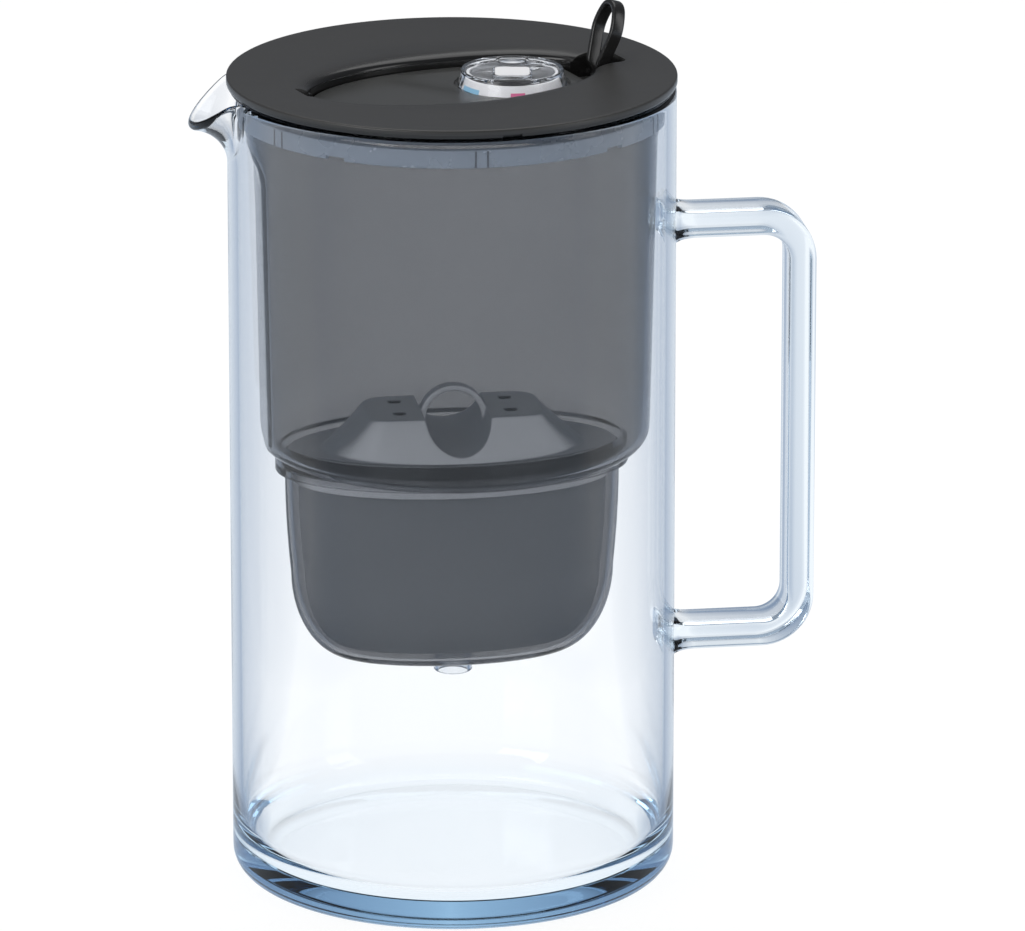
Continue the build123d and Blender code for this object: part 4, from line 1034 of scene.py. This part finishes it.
class PITCHER_OT_collar(Operator):
    """Fits the translucent band with its notches and pairs of ribs, and the drip nozzle"""

    bl_idname = "pitcher.collar"
    bl_label = "Collar and nozzle"

    def execute(self, context):
        low, high = COLLAR_LOW.z, COLLAR_HIGH.z
        hopper = context.scene.pitcher_hopper
        inner = hopper.top_radius + COLLAR_FIT
        outer = inner + COLLAR_THICK
        half = NOTCH_HALF / outer
        directions = full_turn(240)
        for notch in NOTCHES:
            for edge, slope in ((notch - half, -1), (notch + half, 1)):
                directions += [edge % math.tau, (edge + slope * NOTCH_EDGE) % math.tau]
        directions = sorted(directions)
        corner = 0.3 * MM
        section = rounded_path([(inner, low), (outer, low, corner), (outer, high, corner), (inner, high)], 3)
        rings = []
        for r, z in section:
            ring = []
            for d in directions:
                off = min(abs(math.remainder(d - notch, math.tau)) for notch in NOTCHES)
                ring.append(polar(r, d, max(z, low + NOTCH_TALL) if off < half + NOTCH_EDGE / 4 else z))
            rings.append(ring)
        band = skin("hopper_collar_band", rings)
        silicone = milky_silicone()
        hand_over(band, "hopper", silicone, "clear_silicone", "hopper_collar", sharp=math.radians(40))
        ribs = new_object("hopper_collar_ribs", bpy.data.meshes.new("ribs"))
        shade = moulded("rib_shadow", (0.05, 0.055, 0.07), 0.4)
        rib_pattern(ribs, shade, outer - 0.15 * MM, low + 0.1 * MM, high - low - 0.4 * MM)
        settle_modifiers(ribs)
        hand_over(ribs, "hopper", shade, "clear_silicone", sharp=math.radians(60))
        pipe_r = NOZZLE_HIGH.x - NOZZLE_FLANGE - 0.1 * MM
        floor = CUP_LOW.z - hopper.pocket_foot
        nozzle = turned("drip_nozzle_tube", rounded_path([
            (NOZZLE_BORE, NOZZLE_LOW.z), (pipe_r, NOZZLE_LOW.z, 0.8 * MM), (pipe_r, floor, 0.1 * MM),
            (NOZZLE_HIGH.x, floor, 0.2 * MM), (NOZZLE_HIGH.x, NOZZLE_HIGH.z, 0.5 * MM),
            (NOZZLE_BORE, NOZZLE_HIGH.z)], 4), 96)
        plastic = clear_plastic("nozzle_plastic", (0.86, 0.88, 0.90))
        hand_over(nozzle, "hopper", plastic, "clear_plastic", "drip_nozzle")
        return {"FINISHED"}


def node_group(name, inputs):
    """A geometry tree with one geometry output and the named inputs."""
    group = bpy.data.node_groups.new(name, "GeometryNodeTree")
    group.interface.new_socket("Geometry", in_out="INPUT", socket_type="NodeSocketGeometry")
    for label, kind in inputs:
        group.interface.new_socket(label, in_out="INPUT", socket_type=kind)
    group.interface.new_socket("Geometry", in_out="OUTPUT", socket_type="NodeSocketGeometry")
    return group


def run_group(piece, group, values):
    """Puts the tree on the piece and sets its inputs by their sockets' identifiers."""
    modifier = piece.modifiers.new(group.name, "NODES")
    modifier.node_group = group
    for item in group.interface.items_tree:
        if item.in_out == "INPUT" and item.name in values:
            modifier[item.identifier] = values[item.name]


def rib_pattern(piece, material, radius, low, tall):
    """Pairs of upright ribs, evenly spaced round the band."""
    group = node_group("rib_pairs", [("Radius", "NodeSocketFloat"), ("Low", "NodeSocketFloat"),
                                     ("Height", "NodeSocketFloat"), ("Pairs", "NodeSocketInt"),
                                     ("Gap", "NodeSocketFloat"), ("Material", "NodeSocketMaterial")])
    tree = Tree(group)
    given = tree.tree.nodes.new("NodeGroupInput")
    given = {out.name: Socket(tree, out) for out in given.outputs if out.name}
    half_turn = given["Gap"] / given["Radius"] * 0.5
    centre = tree.add("ShaderNodeCombineXYZ", None, {2: given["Height"] * 0.5 + given["Low"]})
    sides = []
    for sign in (-1.0, 1.0):
        ring = tree.add("GeometryNodeMeshCircle", {"fill_type": "NONE"},
                        {"Vertices": given["Pairs"], "Radius": given["Radius"]})
        spin = tree.add("ShaderNodeCombineXYZ", None, {2: half_turn * sign - math.pi / 2})
        sides.append(tree.add("GeometryNodeTransform", None,
                              {"Geometry": ring, "Rotation": spin, "Translation": centre}))
    both = tree.add("GeometryNodeJoinGeometry")
    for side in sides:
        tree.tree.links.new(side.socket, both.socket.node.inputs[0])
    size = tree.add("ShaderNodeCombineXYZ", None, {0: RIB_THICK, 1: RIB_THICK, 2: given["Height"]})
    bar = tree.add("GeometryNodeMeshCube", None, {"Size": size})
    place = tree.add("GeometryNodeInputPosition")
    face = tree.add("FunctionNodeAlignRotationToVector", {"axis": "X"},
                    {"Vector": tree.add("ShaderNodeVectorMath", {"operation": "MULTIPLY"},
                                        {0: place, 1: (1.0, 1.0, 0.0)})})
    spread = tree.add("GeometryNodeInstanceOnPoints", None,
                      {"Points": both, "Instance": bar, "Rotation": face})
    real = tree.add("GeometryNodeRealizeInstances", None, {0: spread})
    done = tree.add("GeometryNodeSetMaterial", None, {"Geometry": real, "Material": given["Material"]})
    tree.add("NodeGroupOutput", None, {0: done})
    run_group(piece, group, {"Radius": radius, "Low": low, "Height": tall, "Pairs": RIB_PAIRS, "Gap": RIB_GAP,
                             "Material": material})


# --- cartridge ------------------------------------------------------------------------
class PITCHER_OT_cartridge(Operator):
    """Makes the filter cartridge: cup, humped cap, seal, screens and grains"""

    bl_idname = "pitcher.cartridge"
    bl_label = "Cartridge"

    def execute(self, context):
        sizes = context.scene.pitcher_cartridge
        directions = full_turn(192)
        wall = sizes.cup_wall
        flat_a, flat_b = sizes.cup_flat_a, sizes.cup_flat_b
        shape = (sizes.cup_draft, sizes.cup_shoulder)
        outer = oval_levels(CUP_HIGH.z, CUP_HIGH.x, CUP_HIGH.y, *shape, flat_a, flat_b, CUP_LOW.z)
        inner = oval_levels(CUP_HIGH.z, CUP_HIGH.x - wall, CUP_HIGH.y - wall, *shape,
                            flat_a - wall, flat_b - wall, CUP_LOW.z + wall)
        middles = [(flat_a * 0.5, flat_b * 0.5), (sizes.drain_a, sizes.drain_b)]
        levels = outer + [(a, b, CUP_LOW.z) for a, b in middles]
        levels += [(a, b, CUP_LOW.z + wall) for a, b in reversed(middles)] + list(reversed(inner))
        cup = skin("cartridge_cup_shell", [oval_ring(a, b, z, directions) for a, b, z in levels])
        cup_plastic = moulded("cup_plastic", tuple(sizes.cup_colour), 0.22)
        hand_over(cup, "cartridge", cup_plastic, "cup_plastic", "cartridge_cup")

        cap = merged_copy("cartridge_cap", "cartridge_cap_humps")
        grid = cap.modifiers.new("rebuild", "REMESH")
        grid.mode = "VOXEL"
        grid.voxel_size = sizes.grain
        ease = cap.modifiers.new("ease", "SMOOTH")
        ease.factor = 0.5
        ease.iterations = 6
        settle_modifiers(cap)
        fronts = cap.data.attributes.new("lit_front_share", "FLOAT", "POINT")
        vents = cap.data.attributes.new("vent_shade_share", "FLOAT", "POINT")
        # painted light on the cap's front and back faces, painted black shade over the vents
        for vertex, front, vent in zip(cap.data.vertices, fronts.data, vents.data):
            front.value = clamped((abs(vertex.normal.y) - 0.35) / 0.3)
            along = abs(abs(vertex.co.x) - sizes.vent_x) * 2 < sizes.vent_long + sizes.vent_shade_margin
            across = abs(abs(vertex.co.y) - sizes.vent_y) * 2 < sizes.vent_wide + sizes.vent_shade_margin
            vent.value = float(along and across)
        hand_over(cap, "cartridge", cap_plastic_painted_light(sizes), "grey_plastic", "cartridge_cap",
                  sharp=math.radians(60))

        half_z = (SEAL_HIGH.z - SEAL_LOW.z) / 2
        rings = []
        for x, y in rounded_section(sizes.seal_wide / 2, half_z, sizes.seal_round, 5):
            inset = sizes.seal_wide / 2 - x
            rings.append(oval_ring(SEAL_HIGH.x - inset, SEAL_HIGH.y - inset, SEAL_LOW.z + half_z + y,
                                   directions))
        seal = skin("cartridge_seal_ring", rings)
        rubber = moulded("seal_rubber", (0.008, 0.008, 0.009), 0.5, grain=1500.0, grain_depth=0.002,
                         **{"Specular IOR Level": 0.15})
        hand_over(seal, "cartridge", rubber, "black_rubber", "cartridge_seal")

        weave = moulded("screen_mesh", (0.05, 0.05, 0.055), 0.5, grain=4000.0, grain_depth=0.5)
        for node in ("upper_screen", "lower_screen"):
            finish_packed(node, node + "_disc", "cartridge", weave, "mesh_plastic")
        finish_packed("filter_media", "filter_media_grains", "cartridge", carbon_grains(), "carbon_grains",
                      math.radians(60))
        return {"FINISHED"}


# --- lid ------------------------------------------------------------------------------
PLATE_DROP = 0.8 * MM    # lid's underside below its edge
POCKET_FLOOR = 1.6 * MM
FLARE_EXTRA = 1 * MM     # the flare is wider across the recess by this
RING_OUT = 2 * MM        # wall round the recess
SKIRT_PLATE = 6 * MM     # the underside is level from here inwards of the skirt


def lid_heights(lid):
    """Top and foot of the lid's edge, and the flap's underside."""
    return LID_HIGH.z, LID_HIGH.z - lid.tall, LID_HIGH.z - lid.flap_drop - lid.flap_thick


def lid_rings(lid, directions):
    """The lid without its two pockets: rings of one closed skin in the lid's own turned frame."""
    top, low, flap_low = lid_heights(lid)
    plate = low - PLATE_DROP
    recess_low = flap_low - POCKET_FLOOR
    edge_r = LID_HIGH.x
    ease_r = edge_r - lid.edge * 1.2
    skirt_r, inner_r = lid.skirt_radius, lid.skirt_radius - lid.skirt_wall
    a, b = lid.recess_a, lid.recess_b
    flare_low = top - lid.flare_tall

    def flare(d, spread):
        return ellipse_radius(a + lid.flare * spread, b + (lid.flare + FLARE_EXTRA) * spread, d)

    def top_z(r):
        return top - lid.dish * (1 - (r / (edge_r - lid.edge)) ** 2)

    rings = []
    for step in range(13):
        rise = step / 12
        height = math.sin(rise * math.pi / 2) ** 0.9
        rings.append([polar(flare(d, rise ** 2.2), d, flare_low + (top_z(flare(d, 1.0)) - flare_low) * height)
                      for d in directions])
    for part in (0.12, 0.3, 0.5, 0.7, 0.88, 1.0):
        radii = [flare(d, 1.0) + (ease_r - flare(d, 1.0)) * part for d in directions]
        rings.append([polar(r, d, top_z(r)) for r, d in zip(radii, directions)])
    edge_round, skirt_low = lid.edge * 0.8, low - lid.skirt_tall
    for r, z in rounded_path([(ease_r, top - 0.03 * MM), (edge_r, top, edge_round), (edge_r, low, edge_round),
                              (skirt_r, low, 0.3 * MM), (skirt_r, skirt_low, 0.5 * MM),
                              (inner_r, skirt_low, 0.5 * MM), (inner_r, plate, 0.6 * MM),
                              (skirt_r - SKIRT_PLATE, plate)], 4)[1:]:
        rings.append([polar(r, d, z) for d in directions])
    for grow, z in ((RING_OUT, plate), (RING_OUT, recess_low), (-lid.ledge, recess_low),
                    (-lid.ledge, flap_low), (0.0, flap_low), (0.0, flap_low + 1 * MM),
                    (0.0, flare_low - 0.6 * MM)):
        rings.append(oval_ring(a + grow, b + grow, z, directions))
    return rings


class PITCHER_OT_lid(Operator):
    """Moulds the dished lid with its oval recess, hinge pocket and tab pocket"""

    bl_idname = "pitcher.lid"
    bl_label = "Lid"

    def execute(self, context):
        lid = context.scene.pitcher_lid
        shell = skin("lid_shell_moulding", lid_rings(lid, full_turn(288)))
        top, low, flap_low = lid_heights(lid)
        hinge_u, hinge_end = HINGE_U - 2.8 * MM, HINGE_U + 3 * MM
        tab_end, tab_floor = LOOP_U + 5.2 * MM, LOOP_PIN.z - 4.1 * MM
        join_z, cut_z = low - PLATE_DROP + 0.5 * MM, top + PAST
        blocks = (
            ("hinge_block", "UNION", (hinge_u - 2 * MM, flap_low - POCKET_FLOOR), (hinge_end, join_z),
             8.3 * MM, 0.0),
            ("tab_block", "UNION", (lid.recess_a - lid.ledge - 1 * MM, tab_floor - POCKET_FLOOR),
             (tab_end + POCKET_FLOOR, join_z), 9.2 * MM, 2.5 * MM),
            ("hinge_pocket", "DIFFERENCE", (hinge_u, flap_low + 0.1 * MM), (hinge_end, cut_z),
             5.1 * MM, 0.6 * MM),
            ("tab_pocket", "DIFFERENCE", (lid.recess_a - lid.flap_end - 3 * MM, tab_floor), (tab_end, cut_z),
             7.6 * MM, 2.0 * MM),
        )
        for name, operation, (u0, z0), (u1, z1), half, corner in blocks:
            combine(shell, block(name, Vector((u0, -half, z0)), Vector((u1, half, z1)), corner), operation)
        half = lid.vent_wide / 2
        vent = block("air_vent", Vector((LID_HIGH.x - lid.vent_deep, -half, low - 1 * MM)),
                     Vector((LID_HIGH.x + 3 * MM, half, low + lid.vent_tall)))
        vent.data.transform(Matrix.Rotation(lid.vent_turn - LID_TURN, 4, "Z"))
        combine(shell, vent, "DIFFERENCE")
        soften(shell, 0.25 * MM, 2, math.radians(50))
        shell.data.transform(LID_FRAME)
        hand_over(shell, "lid", lid_plastic(lid), "lid_black", "lid_shell", sharp=math.radians(40))
        pin = lid_pin("flap_hinge_pin_bar", HINGE_U, HINGE_PLACE.z, 7.3 * MM)
        hand_over(pin, "lid", brushed_pin(), "pin_steel", "flap_hinge_pin")
        return {"FINISHED"}


class PITCHER_OT_flap(Operator):
    """Finishes the oval flap with its dial well, hinge barrel and tab"""

    bl_idname = "pitcher.flap"
    bl_label = "Flap"

    def execute(self, context):
        lid = context.scene.pitcher_lid
        satin = moulded("flap_black", tuple(lid.flap_black), 0.3, grain=700.0)
        finish_packed("flap_panel", "flap_panel_moulding", "flap", satin, "lid_black", math.radians(30),
                      0.18 * MM, limit=math.radians(50))
        return {"FINISHED"}


class PITCHER_OT_pull_loop(Operator):
    """Bends the strap loop round its pin"""

    bl_idname = "pitcher.pull_loop"
    bl_label = "Pull loop"

    def execute(self, context):
        loop = context.scene.pitcher_loop
        lean = loop.lean
        up = ALONG * math.sin(lean) + Vector((0, 0, math.cos(lean)))
        facing = ALONG * math.cos(lean) - Vector((0, 0, math.sin(lean)))
        tall = loop.tall - loop.thick / 2
        half, foot = loop.half, loop.foot
        right = [(foot, -1.0 * MM), (foot, 1.5 * MM), (half * 0.8, tall * 0.42), (half, tall * 0.68),
                 (half * 0.62, tall * 0.93)]
        points = [Vector((-x, y)) for x, y in right] + [Vector((0.0, tall))]
        points += [Vector((x, y)) for x, y in reversed(right)]
        flat = through_points(points, 10)
        line, sides = [], []
        for point, before, after in zip(flat, flat[:1] + flat, flat[1:] + flat[-1:]):
            run = (after - before).normalized()
            shift = loop.shift * eased(point.y / loop.rise)
            line.append(LOOP_PIN + ACROSS * point.x + up * point.y - ALONG * shift)
            sides.append((facing, ACROSS * -run.y + up * run.x))
        section = rounded_section(loop.band / 2, loop.thick / 2, loop.edge, 5)
        strap = swept("pull_loop_strap", line, section, sides)
        rubber = moulded("loop_rubber", (0.012, 0.012, 0.012), 0.24, grain=1200.0)
        hand_over(strap, "flap", rubber, "loop_rubber", "pull_loop")
        pin = lid_pin("loop_pin_bar", LOOP_U, LOOP_PIN.z, 4.2 * MM)
        hand_over(pin, "flap", bpy.data.materials["pin_steel"], "pin_steel", "loop_pin")
        return {"FINISHED"}


# --- dial -----------------------------------------------------------------------------
class PITCHER_OT_dial(Operator):
    """Makes the reminder dial: clear cap with its white window plate, dark hub, printed scale and clip"""

    bl_idname = "pitcher.dial"
    bl_label = "Dial"

    def execute(self, context):
        dial = context.scene.pitcher_dial
        clear = clear_plastic("dial_clear", bending=1.3)
        finish_packed("dial_knob", "dial_knob_cap", "dial", clear, "dial_clear", math.radians(30),
                      0.3 * MM, 3, math.radians(35))
        dark = moulded("hub_black", (0.016, 0.016, 0.017), 0.30)
        finish_packed("dial_hub", "dial_hub_disc", "flap", dark, "hub_black", edge=0.2 * MM)
        finish_packed("dial_scale", "dial_scale_ring", "flap", dial_print(dial), "scale_white")
        out, long, wide = dial.window_out, dial.window_long, dial.window_wide
        high = KNOB_HIGH.z + dial.window_lift
        plate = block("dial_window_plate", Vector((out - long, -wide, high - dial.window_thick)),
                      Vector((out + long, wide, high)), 1.5 * MM)
        spin = Matrix.Rotation(dial.faces, 4, "Z")
        plate.data.transform(Matrix.Translation((DIAL_PLACE.x, DIAL_PLACE.y, 0)) @ spin)
        hand_over(plate, "dial", moulded("window_white", (0.80, 0.80, 0.82), 0.3), "scale_white")
        finish_packed("dial_clip", "dial_clip_ring", "dial", dark, "hub_black")
        return {"FINISHED"}


# --- stage ----------------------------------------------------------------------------
def ray_kinds(tree):
    """Camera rays, rays that came through glass, and rays that a surface mirrored."""
    camera, passing, glossy = tree.rays("Camera", "Transmission", "Glossy")
    return camera, passing, glossy * (1 - passing)


def room_side(x, y, stage):
    """A level place or direction split into right of the camera's view and towards the camera."""
    right = x * math.cos(stage.azimuth) + y * math.sin(stage.azimuth)
    front = x * math.sin(stage.azimuth) - y * math.cos(stage.azimuth)
    return right, front


def room_tones(tree, stage, right, front, slant):
    """What glass shows of the room: white behind, shaded to the sides, dim with a strip light in front."""
    rise = slant.math("MAXIMUM", 0.0).math("POWER", stage.side_curve) * stage.side_shade
    rise = rise.math("MINIMUM", 1.0)
    fall = (1 - (slant - stage.side_full) / stage.side_full).within()
    behind = tree.blend(rise * fall, tuple(stage.behind), tuple(stage.sides))
    strip = (right.math("ARCTAN2", front) - stage.box_turn).math("ABSOLUTE") < stage.box_half
    return behind, tree.blend(strip, tuple(stage.mirror), WHITE)


def studio_world(stage):
    """White to the eye; to glass a room that is white behind and dim in front."""
    world = bpy.data.worlds.new("studio")
    bpy.context.scene.world = world
    world.use_nodes = True
    tree = Tree(world.node_tree)
    camera, passing, mirrored = ray_kinds(tree)
    x, y, z = tree.parts(tree.add("ShaderNodeTexCoord", out="Generated"))
    right, front = room_side(x, y, stage)
    slant = right.math("ABSOLUTE") / (right * right + front * front).math("SQRT").math("MAXIMUM", 0.001)
    behind, mirror = room_tones(tree, stage, right, front, slant)
    behind = tree.blend(((z - 0.45) * 3.0).within(0.0, 0.85), behind, tuple(stage.roof))
    behind = tree.blend((front * 4.0 - 0.4).within(), behind, tuple(stage.nearer))
    seen_colour = tree.blend(camera, tree.blend(mirrored, behind, mirror), WHITE)
    seen = camera.math("MAXIMUM", passing).math("MAXIMUM", mirrored)
    room = tree.add("ShaderNodeBackground", None, {"Color": seen_colour, "Strength": 1.0})
    level = z.math("MAXIMUM", 0.0) * (stage.fill - stage.low_fill) + stage.low_fill
    fill = tree.add("ShaderNodeBackground", None, {"Color": opaque(WHITE), "Strength": level})
    mix = tree.add("ShaderNodeMixShader", None, {0: seen, 1: fill, 2: room})
    tree.add("ShaderNodeOutputWorld", None, {"Surface": mix})


def floor_material(stage):
    """White floor that shows as paper white, keeps the shadow and continues the room for glass."""
    material, tree = material_tree("floor_white")
    camera, passing, mirrored = ray_kinds(tree)
    x, y, _ = tree.parts(tree.place())
    right, front = room_side(x, y, stage)
    slant = (right.math("ABSOLUTE") - stage.floor_clear) / front.math("ABSOLUTE").math("MAXIMUM", 20 * MM)
    behind, _ = room_tones(tree, stage, right, front, slant)
    nearer = (front * 5.0 - 0.6).math("MAXIMUM", mirrored).within()
    seen = tree.blend(camera, tree.blend(nearer, behind, tuple(stage.nearer_floor)), WHITE)
    share_seen = camera * 0.70 + passing * 0.86 + mirrored * 0.97
    paper = tree.add("ShaderNodeBsdfDiffuse", None, {"Color": opaque((0.6, 0.6, 0.6))})
    glow = tree.add("ShaderNodeEmission", None, {"Color": seen, "Strength": stage.floor_glow})
    lift = tree.add("ShaderNodeMixShader", None, {0: share_seen.math("MINIMUM", 1.0), 1: paper, 2: glow})
    tree.add("ShaderNodeOutputMaterial", None, {"Surface": lift})
    return material


def area_lamp(name, place, target, size_x, size_y, power):
    lamp = bpy.data.lights.new(name, "AREA")
    lamp.shape = "RECTANGLE"
    lamp.size, lamp.size_y = size_x, size_y
    lamp.energy = power
    holder = bpy.data.objects.new(name, lamp)
    bpy.context.scene.collection.objects.link(holder)
    holder.location = place
    holder.rotation_mode = "QUATERNION"
    holder.rotation_quaternion = (target - place).to_track_quat("-Z", "Y")


class PITCHER_OT_stage(Operator):
    """Sets the floor, the studio light and the camera"""

    bl_idname = "pitcher.stage"
    bl_label = "Stage"

    def execute(self, context):
        stage = context.scene.pitcher_stage
        scene = context.scene
        size = stage.floor_size
        mesh = bpy.data.meshes.new("floor")
        corners = ((-size, -size), (size, -size), (size, size), (-size, size))
        mesh.from_pydata([(x, y, -stage.floor_drop) for x, y in corners], [], [(0, 1, 2, 3)])
        mesh.materials.append(floor_material(stage))
        new_object("floor", mesh)
        studio_world(stage)

        turn, rise = stage.azimuth, stage.elevation
        right = Vector((math.cos(turn), math.sin(turn), 0))
        back = Vector((math.sin(turn) * math.cos(rise), -math.cos(turn) * math.cos(rise), math.sin(rise)))
        aim = Vector((0, 0, stage.aim_height)) + right * stage.aim_right
        camera = bpy.data.objects.new("camera", bpy.data.cameras.new("camera"))
        scene.collection.objects.link(camera)
        camera.data.lens = stage.lens
        camera.data.sensor_width = 36.0
        camera.data.sensor_fit = "HORIZONTAL"
        camera.location = aim + back * stage.distance
        camera.rotation_mode = "QUATERNION"
        camera.rotation_quaternion = (-back).to_track_quat("-Z", "Y")
        camera.data.clip_end = 50.0
        scene.camera = camera

        centre = Vector((0, 0, 0.13))
        front = Vector((math.sin(turn), -math.cos(turn), 0))
        up = Vector((0, 0, 1))
        for name, place, wide, tall, power in (
                ("key", centre + front * 1.2 - right * 1.1 + up * 0.8, 0.9, 0.9, 10.0),
                ("over", up * 1.5 - front * 0.5, 1.2, 1.2, 7.0),
                ("side", centre + front * 0.6 + right * 1.5 + up * 0.5, 0.5, 1.2, 4.0)):
            area_lamp(name, place, centre, wide, tall, power)

        scene.view_settings.view_transform = "Standard"
        scene.cycles.max_bounces = 32
        scene.cycles.transmission_bounces = 28
        scene.cycles.transparent_max_bounces = 32
        scene.cycles.glossy_bounces = 8
        return {"FINISHED"}


PIECES = (
    PITCHER_OT_glass,
    PITCHER_OT_hopper,
    PITCHER_OT_collar,
    PITCHER_OT_cartridge,
    PITCHER_OT_lid,
    PITCHER_OT_flap,
    PITCHER_OT_pull_loop,
    PITCHER_OT_dial,
    PITCHER_OT_stage,
)


class PITCHER_PT_panel(Panel):
    """Lists the pieces of the pitcher and their sizes"""

    bl_idname = "PITCHER_PT_panel"
    bl_label = "Pitcher"
    bl_space_type = "VIEW_3D"
    bl_region_type = "UI"
    bl_category = "Pitcher"

    def draw(self, context):
        for piece in PIECES:
            self.layout.operator(piece.bl_idname, text=piece.bl_label)
        for name, group in SETTINGS.items():
            box = self.layout.box()
            box.label(text=group.__name__.replace("Settings", ""))
            for key in group.__annotations__:
                box.prop(getattr(context.scene, name), key)


def register():
    for name, group in SETTINGS.items():
        bpy.utils.register_class(group)
        setattr(bpy.types.Scene, name, PointerProperty(type=group))
    for kind in (*PIECES, PITCHER_PT_panel):
        bpy.utils.register_class(kind)


def unregister():
    for kind in reversed((*PIECES, PITCHER_PT_panel)):
        bpy.utils.unregister_class(kind)
    for name, group in SETTINGS.items():
        delattr(bpy.types.Scene, name)
        bpy.utils.unregister_class(group)


def main():
    register()
    for piece in PIECES:
        group, name = piece.bl_idname.split(".")
        getattr(getattr(bpy.ops, group), name)()


if __name__ == "__main__":
    main()
